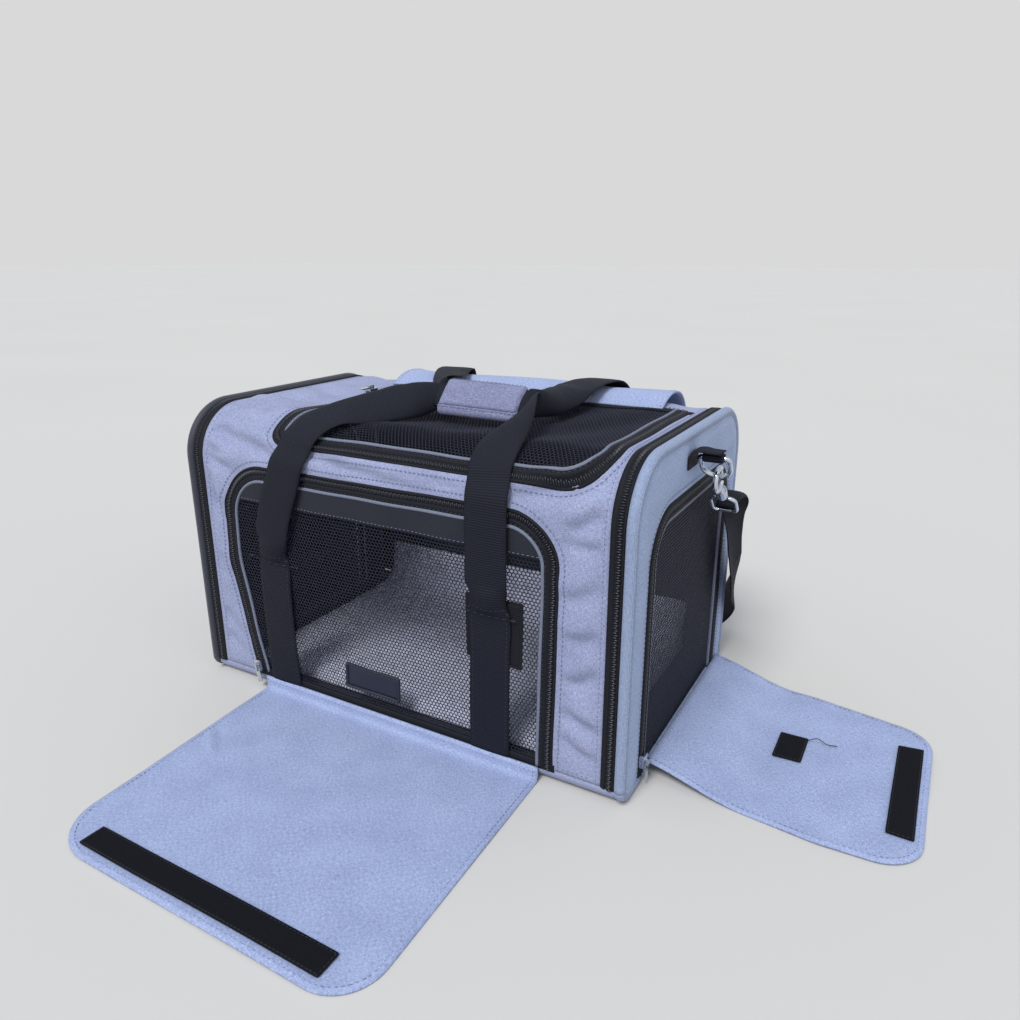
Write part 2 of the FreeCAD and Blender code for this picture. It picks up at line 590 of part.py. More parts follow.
def make_sliders():
    """One slider on each zipper, with a pull where there is room for one."""
    coil_in = TAPE_WIDTH / 2
    lean = math.atan2(190 - 167, 130 - BASE_RADIUS)
    front_x = -167 - (SLIDER_Z - BASE_RADIUS) * math.tan(lean) + coil_in / math.cos(lean)
    tape_y = DEPTH / 2 + TAPE_FACE
    turn = FreeCAD.Rotation
    end_coil_x = (BODY_X + RIM_INNER_X) / 2
    door_y = END_DOOR[0][0] + coil_in
    places = {
        "front": FreeCAD.Placement(V(front_x, -tape_y, SLIDER_Z), turn(Y_AXIS, -math.degrees(lean))),
        "top": FreeCAD.Placement(V(TOP_DOOR[0][0] + coil_in, 10, HEIGHT + TAPE_FACE), turn(X_AXIS, -90)),
        "door_right": FreeCAD.Placement(V(END_X + TAPE_FACE, door_y, SLIDER_Z), turn(Z_AXIS, 90)),
        "door_left": FreeCAD.Placement(V(-END_X - TAPE_FACE, door_y, SLIDER_Z), turn(Z_AXIS, -90)),
        "end_right": FreeCAD.Placement(V(end_coil_x, tape_y, SLIDER_Z), turn(Z_AXIS, 180)),
        "end_left": FreeCAD.Placement(V(-end_coil_x, tape_y, SLIDER_Z), turn(Z_AXIS, 180)),
    }
    for name, place in places.items():
        piece = slider()
        piece.Placement = place
        NODES["slider_" + name] = piece
        if name.startswith("end"):
            continue
        piece = pull()
        piece.Placement = place
        NODES["pull_" + name] = piece


# ---- assembly ----

def main():
    make_walls()
    make_base()
    rim = make_end_panels()
    window_piping = [make_front_door(), make_top_door()]
    NODES["piping"] = Part.makeCompound([rim, mirrored(rim)] + window_piping)
    make_end_doors()
    make_front_flap()
    make_right_flap()
    make_left_flap()
    make_top_flap()
    make_sewn_webbing()
    make_handles()
    make_shoulder_strap()
    make_clips()
    make_sliders()
    os.makedirs("parts", exist_ok=True)
    for name, shape in sorted(NODES.items()):
        print("%-22s solids %d valid %s" % (name, len(shape.Solids), shape.isValid()))
        shape.exportStep("parts/%s.step" % name)
    print(len(NODES), "nodes")


main()
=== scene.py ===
import math

import bmesh
import bpy
import numpy as np
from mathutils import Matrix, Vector


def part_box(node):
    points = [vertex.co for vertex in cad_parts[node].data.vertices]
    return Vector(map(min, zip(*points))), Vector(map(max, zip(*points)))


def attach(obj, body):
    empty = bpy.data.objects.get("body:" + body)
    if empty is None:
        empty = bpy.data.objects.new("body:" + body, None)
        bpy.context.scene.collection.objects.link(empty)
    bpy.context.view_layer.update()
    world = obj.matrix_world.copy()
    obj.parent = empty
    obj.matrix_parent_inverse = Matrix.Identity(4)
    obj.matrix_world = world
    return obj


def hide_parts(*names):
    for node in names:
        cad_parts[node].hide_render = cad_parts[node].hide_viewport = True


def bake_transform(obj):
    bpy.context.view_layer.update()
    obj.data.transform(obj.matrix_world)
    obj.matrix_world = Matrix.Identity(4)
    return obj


# A soft-sided pet carrier bag. Lengths in this script are in millimetres until make() turns them into metres.
# +X is the bag's right, +Y its rear, +Z up.

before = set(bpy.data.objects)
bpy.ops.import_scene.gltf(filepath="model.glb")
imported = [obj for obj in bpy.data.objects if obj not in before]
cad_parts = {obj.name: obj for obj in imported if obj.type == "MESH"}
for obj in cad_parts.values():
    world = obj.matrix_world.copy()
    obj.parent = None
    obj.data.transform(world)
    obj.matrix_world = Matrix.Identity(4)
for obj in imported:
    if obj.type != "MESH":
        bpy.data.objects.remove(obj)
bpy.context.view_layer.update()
MM = 0.001


def node_box(node):
    """Lowest and highest corner of a CAD node, in millimetres."""
    low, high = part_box(node)
    return np.array(low) / MM, np.array(high) / MM


# ---- camera ----

camera = bpy.data.objects.new("camera", bpy.data.cameras.new("camera"))
bpy.context.scene.collection.objects.link(camera)
camera.location = (0.4069, -0.6353, 0.4179)
camera.rotation_euler = (math.radians(71.98), 0, math.radians(29.35))
camera.data.lens = 27.73
camera.data.sensor_width = 36.0
camera.data.clip_start = 0.02
bpy.context.scene.camera = camera

# ---- sizes shared with the CAD model ----

HALF = node_box("base_panel")[1][1]           # half the depth
HEIGHT = node_box("top_panel")[1][2]
END_X = node_box("end_panel_right")[1][0]
BODY_X = node_box("rear_panel")[1][0]         # where the fabric body meets the end zippers
TOP_R = 50.0
BASE_R = 14.0
FABRIC = 2.2
TAPE = 15.0                                   # zipper tape
PIPE_IN = 16.75                               # middle of the window piping, from the opening's edge
WEB = 38.0                                    # webbing width
WEB_THICK = 1.7

FRONT_DOOR = [(171, 14), (174, 237), (-188, 235), (-190, 130), (-167, 14)]
FRONT_RADII = [0, 46, 56, 150, 0]
TOP_DOOR = [(-130, 66), (-130, -135.5), (207, -135.5), (205, 66)]
TOP_RADII = [0, 21, 44, 0]
END_DOOR = [(115, 8), (115, 236), (-110, 236), (-110, 8)]
END_RADII = [0, 46, 46, 0]

# ---- the bag's girth ----

# s runs up the front wall from its base seam, over the top, down the rear and under the base

FRONT_S = HEIGHT - TOP_R - BASE_R
ARC_S = math.pi / 2 * TOP_R
TOP_S = 2 * (HALF - TOP_R)
BASE_ARC = math.pi / 2 * BASE_R
REAR_SEAM = 2 * FRONT_S + 2 * ARC_S + TOP_S
GIRTH = REAR_SEAM + 2 * BASE_ARC + 2 * (HALF - BASE_R)


def girth_table():
    """Samples of (s, y, z, outward y, outward z) round the section."""
    rows = []
    flat = HALF - TOP_R
    shoulder = HEIGHT - TOP_R

    def line(y0, z0, y1, z1, ny, nz):
        for t in np.linspace(0, 1, 400, endpoint=False):
            rows.append((y0 + (y1 - y0) * t, z0 + (z1 - z0) * t, ny, nz))

    def arc(cy, cz, r, a0, a1):
        for t in np.linspace(0, 1, 400, endpoint=False):
            a = math.radians(a0 + (a1 - a0) * t)
            rows.append((cy + r * math.cos(a), cz + r * math.sin(a), math.cos(a), math.sin(a)))

    line(-HALF, BASE_R, -HALF, shoulder, -1, 0)
    arc(-flat, shoulder, TOP_R, 180, 90)
    line(-flat, HEIGHT, flat, HEIGHT, 0, 1)
    arc(flat, shoulder, TOP_R, 90, 0)
    line(HALF, shoulder, HALF, BASE_R, 1, 0)
    arc(HALF - BASE_R, BASE_R, BASE_R, 0, -90)
    line(HALF - BASE_R, 0, BASE_R - HALF, 0, 0, -1)
    arc(BASE_R - HALF, BASE_R, BASE_R, -90, -180)
    rows.append(rows[0])
    data = np.array(rows)
    steps = np.hypot(np.diff(data[:, 0]), np.diff(data[:, 1]))
    s = np.concatenate([[0], np.cumsum(steps)])
    return s * GIRTH / s[-1], data


GIRTH_S, GIRTH_YZ = girth_table()


def girth(s):
    s = np.mod(np.asarray(s, float), GIRTH)
    return [np.interp(s, GIRTH_S, GIRTH_YZ[:, k]) for k in range(4)]


def smooth(t):
    t = np.clip(t, 0, 1)
    return t * t * (3 - 2 * t)


def bump(t):
    return np.exp(-t * t)


# creases of the soft body: ends in (x, s), depth and width of the valley
CREASES = [
    (-205, 243, -112, 231, 3.2, 6.0), (-207, 262, -150, 252, 2.6, 7.0), (-206, 226, -176, 205, 2.4, 6.0),
    (-208, 205, -192, 168, 1.8, 6.0), (-204, 285, -158, 300, 2.4, 9.0), (-207, 330, -150, 352, 1.8, 10.0),
    (-208, 395, -140, 380, 1.6, 10.0), (-60, 229, 60, 227, 1.6, 4.5), (120, 231, 206, 248, 2.2, 6.0),
    (176, 212, 208, 224, 2.4, 6.0), (178, 150, 208, 176, 1.8, 7.0), (180, 84, 207, 96, 2.2, 6.0),
    (178, 60, 206, 40, 2.4, 6.0), (177, 34, 205, 18, 2.0, 5.0), (-206, 120, -192, 100, 1.4, 5.0),
    (-207, 60, -176, 34, 1.8, 6.0), (-207, 30, -172, 16, 1.6, 5.0), (-200, 470, -120, 540, 2.2, 12.0),
    (196, 480, 120, 545, 2.2, 12.0), (-205, 600, -130, 640, 2.4, 12.0), (205, 610, 125, 650, 2.4, 12.0),
    (-60, 690, 70, 700, 2.0, 14.0), (-206, 720, -150, 744, 2.0, 8.0), (206, 725, 150, 748, 2.0, 8.0),
    (-40, 570, 50, 590, 2.0, 14.0), (-208, 254, -178, 243, 2.6, 4.0), (-208, 236, -186, 222, 2.4, 4.0),
    (-208, 272, -184, 268, 2.2, 4.5), (-204, 186, -191, 160, 1.6, 4.0), (-207, 300, -170, 322, 1.8, 6.0),
    (150, 238, 205, 262, 2.0, 6.0), (176, 196, 207, 203, 1.6, 5.0), (180, 118, 206, 132, 1.8, 6.0),
    (-100, 236, 0, 231, 1.6, 3.5), (20, 230, 92, 233, 1.4, 3.5), (-150, 268, -140, 330, 1.4, 6.0),
]


def crease(x, s, line):
    """Valley along a line with a low ridge beside it, fading at both ends."""
    x0, s0, x1, s1, depth, width = line
    length = math.hypot(x1 - x0, s1 - s0)
    ux, us = (x1 - x0) / length, (s1 - s0) / length
    along = ((x - x0) * ux + (s - s0) * us) / length
    aside = (s - s0) * ux - (x - x0) * us + 3.0 * np.sin(along * 4.0 + depth * 3)
    fade = smooth(along / 0.3 + 0.4) * smooth((1 - along) / 0.5 + 0.3)
    fade = np.where((along < -0.12) | (along > 1.15), 0, fade)
    return fade * depth * (0.55 * bump((aside - 1.9 * width) / (1.4 * width)) - bump(aside / width))


def drape(x, s):
    """How far the soft walls stand off their nominal surface: the top sags and creases run from the rims."""
    x = np.asarray(x, float)
    s = np.asarray(s, float)
    held = smooth((BODY_X - np.abs(x)) / 10) * smooth(s / 14) * smooth((REAR_SEAM - s) / 16)
    d = 2.0 * sum(crease(x, s, line) for line in CREASES)
    d = d + 2.2 * bump((s - 231) / 8) * smooth((105 - x) / 30) * smooth((x + 125) / 30)
    middle = FRONT_S + ARC_S + 60
    d = d - 7.0 * bump((x - 30) / 120) * bump((s - middle) / 62)
    d = d - 2.5 * bump((x + 130) / 60) * bump((s - middle) / 70)
    d = d - 2.5 * bump((x - 10) / 130) * bump((s - 110) / 70)
    d = d + 1.2 * bump((np.abs(x) - 190) / 14) * bump((s - 330) / 240)
    d = d + 0.8 * np.sin(x / 23 + 1.3) * np.sin(s / 31) + 0.5 * np.sin(x / 11 - s / 17)
    quiet = 1 - 0.85 * bump((x + 178) / 12) * smooth((120 - s) / 30)
    return np.clip(held * quiet * d, -11, 3.6)


def shell(x, s, h):
    """Point at height h over the body's fabric."""
    x = np.asarray(x, float)
    y, z, ny, nz = girth(s)
    h = h + drape(x, s)
    return np.stack([x + 0 * y, y + ny * h, z + nz * h], axis=-1)


def s_of_z(z):
    """Place on the front wall at height z."""
    shoulder = HEIGHT - TOP_R
    if z <= shoulder:
        return z - BASE_R
    return FRONT_S + TOP_R * math.asin(min(1.0, (z - shoulder) / TOP_R))


def s_of_y(y):
    """Place on the top at depth y."""
    flat = HALF - TOP_R
    if y < -flat:
        return FRONT_S + TOP_R * math.acos(min(1.0, (-y - flat) / TOP_R))
    return FRONT_S + ARC_S + y + flat


def rounded_distance(y, z, grow):
    """Distance inwards from the section's outline, moved in by grow."""
    low = np.where(z < HEIGHT / 2, BASE_R, TOP_R) - grow
    qy = np.abs(y) - (HALF - grow - low)
    qz = np.abs(z - HEIGHT / 2) - (HEIGHT / 2 - grow - low)
    outside = np.hypot(np.maximum(qy, 0), np.maximum(qz, 0))
    return low - outside - np.minimum(np.maximum(qy, qz), 0)


def end_wall(side):
    """Surface of a padded end panel: points (y, z, h)."""
    def place(y, z, h):
        y = np.asarray(y, float)
        z = np.asarray(z, float)
        rim = rounded_distance(y, z, 0)
        door = np.maximum(np.abs(y - 2.5) - 112.5, z - 236)
        swell = 1.7 * smooth(rim / 14) * smooth(door / 9)
        swell = swell + 0.25 * np.sin(y / 19 + side) * np.sin(z / 23) * smooth(rim / 20) * smooth(door / 9)
        return np.stack([side * (END_X + h + swell), y, z], axis=-1)
    return place


# ---- outlines ----

def path_of(corners, radii, step=4.0, closed=False):
    """Dense points along a polyline whose corners are rounded."""
    points = [np.array(c, float) for c in corners]
    count = len(points)
    turns = []
    for i, here in enumerate(points):
        if radii[i] == 0 or (not closed and i in (0, count - 1)):
            turns.append([here])
            continue
        back = points[i - 1] - here
        ahead = points[(i + 1) % count] - here
        back = back / np.linalg.norm(back)
        ahead = ahead / np.linalg.norm(ahead)
        half = math.acos(float(np.clip(back @ ahead, -1, 1))) / 2
        centre = here + (back + ahead) / np.linalg.norm(back + ahead) * (radii[i] / math.sin(half))
        start = here + back * radii[i] / math.tan(half)
        end = here + ahead * radii[i] / math.tan(half)
        a0 = math.atan2(*(start - centre)[::-1])
        a1 = math.atan2(*(end - centre)[::-1])
        sweep = (a1 - a0 + math.pi) % (2 * math.pi) - math.pi
        n = max(4, int(abs(sweep) * radii[i] / step) + 1)
        turns.append([centre + radii[i] * np.array([math.cos(a0 + sweep * k / n), math.sin(a0 + sweep * k / n)])
                      for k in range(n + 1)])
    line = []
    for i, turn in enumerate(turns):
        line += turn
        if i == count - 1 and not closed:
            break
        a, b = turn[-1], turns[(i + 1) % count][0]
        n = max(1, int(np.linalg.norm(b - a) / step))
        line += [a + (b - a) * k / n for k in range(1, n)]
    return np.array(line)


def normals(path, closed=False):
    """Left-hand normals, which point into an anticlockwise outline."""
    if closed:
        along = np.roll(path, -1, axis=0) - np.roll(path, 1, axis=0)
    else:
        along = np.gradient(path, axis=0)
    along = along / np.maximum(np.linalg.norm(along, axis=1, keepdims=True), 1e-9)
    return np.stack([-along[:, 1], along[:, 0]], axis=1)


def runs(path):
    steps = np.linalg.norm(np.diff(path, axis=0), axis=1)
    return np.concatenate([[0], np.cumsum(steps)])


def resample(path, step):
    """Points at an even step along a path of any dimension."""
    at = runs(path)
    n = max(2, int(round(at[-1] / step)) + 1)
    want = np.linspace(0, at[-1], n)
    return np.stack([np.interp(want, at, path[:, k]) for k in range(path.shape[1])], axis=1)


def inside(u, v, polygon):
    """Even-odd test of many points against a closed outline."""
    hit = np.zeros(np.shape(u), bool)
    for (u0, v0), (u1, v1) in zip(polygon, np.roll(polygon, -1, axis=0)):
        if v0 == v1:
            continue
        crossing = (v0 > v) != (v1 > v)
        hit ^= crossing & (u < (u1 - u0) * (v - v0) / (v1 - v0) + u0)
    return hit


def laid(u, v, w=0.0):
    """Places in the cloth, one row each."""
    return np.stack(np.broadcast_arrays(u, v, w), axis=1)


def nearest(points, line):
    """Nearest place on a polyline for each point, and the distance."""
    best = np.full(len(points), 1e9)
    place = points.copy()
    for a, b in zip(line[:-1], line[1:]):
        d = b - a
        t = np.clip(((points - a) @ d) / max(d @ d, 1e-9), 0, 1)
        q = a + t[:, None] * d
        gap = np.linalg.norm(points - q, axis=1)
        closer = gap < best
        best[closer] = gap[closer]
        place[closer] = q[closer]
    return place, best


# ---- meshes ----

class Cloth:
    """Collects faces of one piece, each with a material number, and a (u, v, w) place in the cloth per vertex."""

    def __init__(self):
        self.points, self.faces, self.marks, self.cloth, self.count = [], [], [], [], 0

    def add(self, points, faces, cloth=None, mark=0):
        points = np.asarray(points, float).reshape(-1, 3)
        cloth = points if cloth is None else np.asarray(cloth, float).reshape(-1, 3)
        base = self.count
        self.points.append(points)
        self.cloth.append(cloth)
        self.faces += [tuple(base + i for i in f) for f in faces]
        self.marks += [mark] * len(faces)
        self.count += len(points)
        return base

    def grid(self, points, cloth=None, mark=0, caps=True):
        """Quads over a (rows, columns, 3) array whose rows are rings. caps closes its two ends."""
        rows, columns = points.shape[:2]
        faces = []
        for i in range(0, (rows - 1) * columns, columns):
            for j in range(columns):
                m = (j + 1) % columns
                faces.append((i + j, i + m, i + columns + m, i + columns + j))
        if caps:
            faces.append(tuple(range(columns))[::-1])
            faces.append(tuple((rows - 1) * columns + j for j in range(columns)))
        self.add(points, faces, cloth, mark)

    def make(self, name, materials, body, slot, replaces=(), recalc=True):
        mesh = bpy.data.meshes.new(name)
        points = np.concatenate(self.points) * MM
        mesh.from_pydata(points.tolist(), [], self.faces)
        for m in materials:
            mesh.materials.append(m)
        mesh.polygons.foreach_set("material_index", self.marks)
        mesh.polygons.foreach_set("use_smooth", [True] * len(self.faces))
        spot = mesh.attributes.new("cloth", "FLOAT_VECTOR", "POINT")
        spot.data.foreach_set("vector", (np.concatenate(self.cloth) * MM).astype(np.float32).ravel())
        if recalc:
            work = bmesh.new()
            work.from_mesh(mesh)
            bmesh.ops.recalc_face_normals(work, faces=work.faces)
            work.to_mesh(mesh)
            work.free()
        mesh.update()
        piece = bpy.data.objects.new(name, mesh)
        bpy.context.scene.collection.objects.link(piece)
        if body:
            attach(piece, body)
        if replaces:
            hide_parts(*replaces)
        return piece


def sweep(cloth, path, profile, surface, shift=0.0):
    """Carries a closed profile of (inwards, height) points along an outline on a surface."""
    n = normals(path)
    at = runs(path)
    rows = []
    place = []
    for k, (a, h) in enumerate(profile):
        spot = path + n * a
        rows.append(surface(spot[:, 0], spot[:, 1], h + shift))
        place.append(laid(a, at, k * 0.5))
    points = np.stack(rows, axis=1)
    cloth.grid(points, np.stack(place, axis=1))


THREAD = 0.75                                 # thread width


def stitches(cloth, path, surface, height, mark, aside=0.0, pitch=4.2, length=2.9):
    """Row of thread stitches lying on a surface."""
    line = resample(path + normals(path) * aside, pitch / 4)
    ahead = normals(line)
    half = THREAD / 2
    step = length / (pitch / 4) / 2
    for k in range(2, len(line) - 3, 4):
        a, b = line[k], line[min(k + 1, len(line) - 1)]
        along = (b - a) / max(np.linalg.norm(b - a), 1e-9)
        side = ahead[k]
        ends = along * step * (pitch / 4)
        spots = [a - ends, a - ends * 0.5 + side * half, a + ends * 0.5 + side * half, a + ends,
                 a + ends * 0.5 - side * half, a - ends * 0.5 - side * half]
        spots = np.array(spots)
        low = surface(spots[:, 0], spots[:, 1], height - 0.25)
        high = surface(np.array([a[0] - ends[0] * 0.4, a[0] + ends[0] * 0.4]),
                       np.array([a[1] - ends[1] * 0.4, a[1] + ends[1] * 0.4]), height + 0.32)
        faces = [(0, 1, 6), (1, 2, 7, 6), (2, 3, 7), (3, 4, 7), (4, 5, 6, 7), (5, 0, 6)]
        cloth.add(np.concatenate([low, high]), faces, mark=mark)


TOOTH_PITCH = 2.0
TOOTH_ENDS = ((2.0, 0.62, 0.45), (1.64, 0.42, 1.75))   # half width, half length and height of its foot and its top


def teeth(cloth, path, surface, middle):
    """Zipper coil: a row of small bars across the middle of the tape."""
    line = resample(path + normals(path) * middle, TOOTH_PITCH)
    side = normals(line)
    ahead = np.stack([side[:, 1], -side[:, 0]], axis=1)
    for k, (spot, across, along) in enumerate(zip(line, side, ahead)):
        lean = 0.35 * (1 if k % 2 else -1)
        corners = []
        for wide, long, h in TOOTH_ENDS:
            for a, b in ((-1, -1), (1, -1), (1, 1), (-1, 1)):
                corners.append((spot + across * (wide * a + lean) + along * long * b, h))
        flat = np.array([c[0] for c in corners])
        heights = np.array([c[1] for c in corners])
        points = surface(flat[:, 0], flat[:, 1], heights)
        faces = [(4, 5, 6, 7), (0, 1, 5, 4), (1, 2, 6, 5), (2, 3, 7, 6), (3, 0, 4, 7)]
        cloth.add(points, faces, mark=1)


def tube(cloth, path, radius, surface, height, sides=10, shift=0.0):
    """Round cord along an outline on a surface."""
    ring = [(radius * math.cos(t), height + radius * math.sin(t))
            for t in np.linspace(0, 2 * math.pi, sides, endpoint=False)]
    sweep(cloth, path, ring, surface, shift)


# tape with a rolled welt on each side of the coil
ZIP_PROFILE = [(2.4, -0.2), (2.6, 0.3), (3.0, 0.8), (3.5, 1.3), (4.1, 1.35), (4.7, 0.9), (5.2, 0.5),
               (9.8, 0.5), (10.4, 0.7), (11.0, 1.3), (11.9, 1.6), (12.9, 1.5), (14.0, 0.75), (15.2, 0.35),
               (15.4, -0.6), (7.5, -0.9)]


def zipper(cloth, path, surface, width=TAPE):
    scale = width / TAPE
    sweep(cloth, path, [(a * scale, h) for a, h in ZIP_PROFILE], surface)
    teeth(cloth, path, surface, width / 2)


NET_PITCH = 3.5                               # between the middles of neighbouring holes
NET_ROW = 0.866 * NET_PITCH
NET_THREAD = 0.36                             # half the thickness


def perforated(cloth, polygon, surface, height, open_share=0.74):
    """Knitted net: six-sided holes with rounded threads between them, over an outline."""
    corner = NET_PITCH / math.sqrt(3)
    low, high = polygon.min(0), polygon.max(0)
    rows = int((high[1] - low[1]) / NET_ROW) + 2
    columns = int((high[0] - low[0]) / NET_PITCH) + 2
    j, i = np.meshgrid(np.arange(rows), np.arange(columns), indexing="ij")
    u = (low[0] + (i + 0.5 * (j % 2)) * NET_PITCH).ravel()
    v = (low[1] + j * NET_ROW).ravel()
    keep = inside(u, v, polygon)
    u, v = u[keep], v[keep]
    angles = np.radians(np.arange(6) * 60 + 30)
    cu = u[:, None] + corner * np.cos(angles)
    cv = v[:, None] + corner * np.sin(angles)
    keys = np.stack([np.round(cu * 4), np.round(cv * 4)], axis=-1).reshape(-1, 2).astype(int)
    unique, first, where = np.unique(keys, axis=0, return_index=True, return_inverse=True)
    where = where.reshape(-1, 6)
    ou, ov = cu.ravel()[first], cv.ravel()[first]
    shrink = corner * open_share
    iu = (u[:, None] + shrink * np.cos(angles)).ravel()
    iv = (v[:, None] + shrink * np.sin(angles)).ravel()
    upper = surface(ou, ov, height + NET_THREAD)
    lower = surface(ou, ov, height - NET_THREAD)
    inner = surface(iu, iv, height)
    m = len(unique)
    faces = []
    for c in range(len(u)):
        for k in range(6):
            n = (k + 1) % 6
            a, b = where[c, k], where[c, n]
            p, q = 2 * m + 6 * c + k, 2 * m + 6 * c + n
            faces.append((a, b, q, p))
            faces.append((m + b, m + a, p, q))
    spots = np.concatenate([laid(ou, ov), laid(ou, ov), laid(iu, iv)])
    cloth.add(np.concatenate([upper, lower, inner]), faces, spots)


def cut_sheet(cloth, u_range, v_range, step, surface, thick, holes=(), outer=None, lined=True):
    """Fabric over a surface with openings cut out: an outer face, a lining and the cut edges between them."""
    nu = int((u_range[1] - u_range[0]) / step) + 1
    nv = int((v_range[1] - v_range[0]) / step) + 1
    us = np.linspace(*u_range, nu)
    vs = np.linspace(*v_range, nv)
    v, u = np.meshgrid(vs, us, indexing="ij")
    flat = np.stack([u.ravel(), v.ravel()], axis=1)
    cu = (u[:-1, :-1] + u[1:, 1:]) / 2
    cv = (v[:-1, :-1] + v[1:, 1:]) / 2
    keep = np.ones(cu.shape, bool)
    for hole in holes:
        keep &= ~inside(cu, cv, hole)
    if outer is not None:
        keep &= inside(cu, cv, outer)
    faces = []
    edges = {}
    for i, j in zip(*np.nonzero(keep)):
        a = i * nu + j
        face = (a, a + 1, a + nu + 1, a + nu)
        faces.append(face)
        for p, q in zip(face, face[1:] + face[:1]):
            key = (min(p, q), max(p, q))
            edges[key] = None if key in edges else (p, q)
    rim = [e for e in edges.values() if e is not None]
    on_rim = np.array(sorted({p for e in rim for p in e}))
    for line in list(holes) + ([outer] if outer is not None else []):
        loop = np.concatenate([line, line[:1]])
        place, gap = nearest(flat[on_rim], loop)
        near = gap < step * 1.1
        flat[on_rim[near]] = place[near]
    used = sorted({p for f in faces for p in f})
    renumber = {p: k for k, p in enumerate(used)}
    flat = flat[used]
    n = len(used)
    top = surface(flat[:, 0], flat[:, 1], 0.0)
    under = surface(flat[:, 0], flat[:, 1], -thick)
    spots = laid(*flat.T)
    outside = [tuple(renumber[p] for p in f) for f in faces]
    base = cloth.add(np.concatenate([top, under]), outside, np.concatenate([spots, spots]))
    lining = [tuple(n + p for p in f[::-1]) for f in outside]
    sides = [(renumber[q], renumber[p], n + renumber[p], n + renumber[q]) for p, q in rim]
    cloth.faces += [tuple(base + p for p in f) for f in lining + sides]
    cloth.marks += [int(lined)] * len(lining) + [0] * len(sides)


# ---- finishes ----

def srgb(r, g, b):
    return [((c / 255 + 0.055) / 1.055) ** 2.4 if c > 10 else c / 255 / 12.92 for c in (r, g, b)] + [1.0]


class Finish:
    """Node material whose pattern lies in the cloth's own coordinates, or in the part's."""

    def __init__(self, name, rough, where="cloth", **fixed):
        self.material = bpy.data.materials.new(name)
        self.material.use_nodes = True
        self.tree = self.material.node_tree
        self.shader = self.tree.nodes["Principled BSDF"]
        self.shader.inputs["Roughness"].default_value = rough
        for key, value in fixed.items():
            self.shader.inputs[key.replace("_", " ")].default_value = value
        if where == "cloth":
            self.place = self.node("ShaderNodeAttribute", attribute_name="cloth").outputs["Vector"]
        else:
            self.place = self.node("ShaderNodeTexCoord").outputs["Object"]

    def node(self, kind, **settings):
        node = self.tree.nodes.new(kind)
        for key, value in settings.items():
            setattr(node, key, value)
        return node

    def link(self, a, b):
        self.tree.links.new(a, b)

    def noise(self, size, stretch=(1, 1, 1), detail=2.0):
        """Noise with lumps of about this size in millimetres, longer where stretch is over 1."""
        mapping = self.node("ShaderNodeMapping")
        mapping.inputs["Scale"].default_value = [1 / s for s in stretch]
        self.link(self.place, mapping.inputs["Vector"])
        noise = self.node("ShaderNodeTexNoise")
        noise.inputs["Scale"].default_value = 1000 / size
        noise.inputs["Detail"].default_value = detail
        self.link(mapping.outputs["Vector"], noise.inputs["Vector"])
        return noise.outputs["Fac"]

    def wave(self, pitch, axis):
        wave = self.node("ShaderNodeTexWave", wave_type="BANDS", bands_direction=axis)
        wave.inputs["Scale"].default_value = 2 * math.pi / 20 / (pitch * MM)
        self.link(self.place, wave.inputs["Vector"])
        return wave.outputs["Fac"]

    def math(self, operation, a, b):
        node = self.node("ShaderNodeMath", operation=operation)
        for socket, value in zip(node.inputs, (a, b)):
            if isinstance(value, (int, float)):
                socket.default_value = value
            else:
                self.link(value, socket)
        return node.outputs[0]

    def ramp(self, factor, *stops):
        ramp = self.node("ShaderNodeValToRGB")
        points = ramp.color_ramp.elements
        while len(points) < len(stops):
            points.new(0.5)
        for point, (at, colour) in zip(points, stops):
            point.position = at
            point.color = colour
        self.link(factor, ramp.inputs[0])
        return ramp.outputs[0]

    def colour(self, socket):
        self.link(socket, self.shader.inputs["Base Color"])

    def rough(self, factor, low, high):
        span = self.node("ShaderNodeMapRange")
        span.inputs["To Min"].default_value = low
        span.inputs["To Max"].default_value = high
        self.link(factor, span.inputs["Value"])
        self.link(span.outputs[0], self.shader.inputs["Roughness"])

    def bump(self, height, distance, strength=1.0):
        bump = self.node("ShaderNodeBump")
        bump.inputs["Distance"].default_value = distance * MM
        bump.inputs["Strength"].default_value = strength
        self.link(height, bump.inputs["Height"])
        self.link(bump.outputs[0], self.shader.inputs["Normal"])


def heather(name, dark, mid, light, where="cloth"):
    """Two-tone woven polyester: flecks along both yarns, and soft patches of tone."""
    rough = 0.86
    f = Finish(name, rough, where, Sheen_Weight=0.12, Sheen_Roughness=0.5)
    across = f.noise(0.62, (4.5, 1, 1), 3)
    up = f.noise(0.62, (1, 4.5, 1), 3)
    patch = f.noise(34, detail=3)
    flecks = f.math("ADD", f.math("MULTIPLY", across, 0.5), f.math("MULTIPLY", up, 0.5))
    tone = f.math("ADD", f.math("MULTIPLY", flecks, 0.88), f.math("MULTIPLY", patch, 0.12))
    f.colour(f.ramp(tone, (0.34, dark), (0.5, mid), (0.66, light)))
    weave = f.math("MULTIPLY", f.wave(0.95, "X"), f.wave(0.95, "Y"))
    f.bump(f.math("ADD", weave, flecks), 0.2, 0.5)
    f.rough(flecks, rough - 0.08, rough + 0.08)
    return f.material


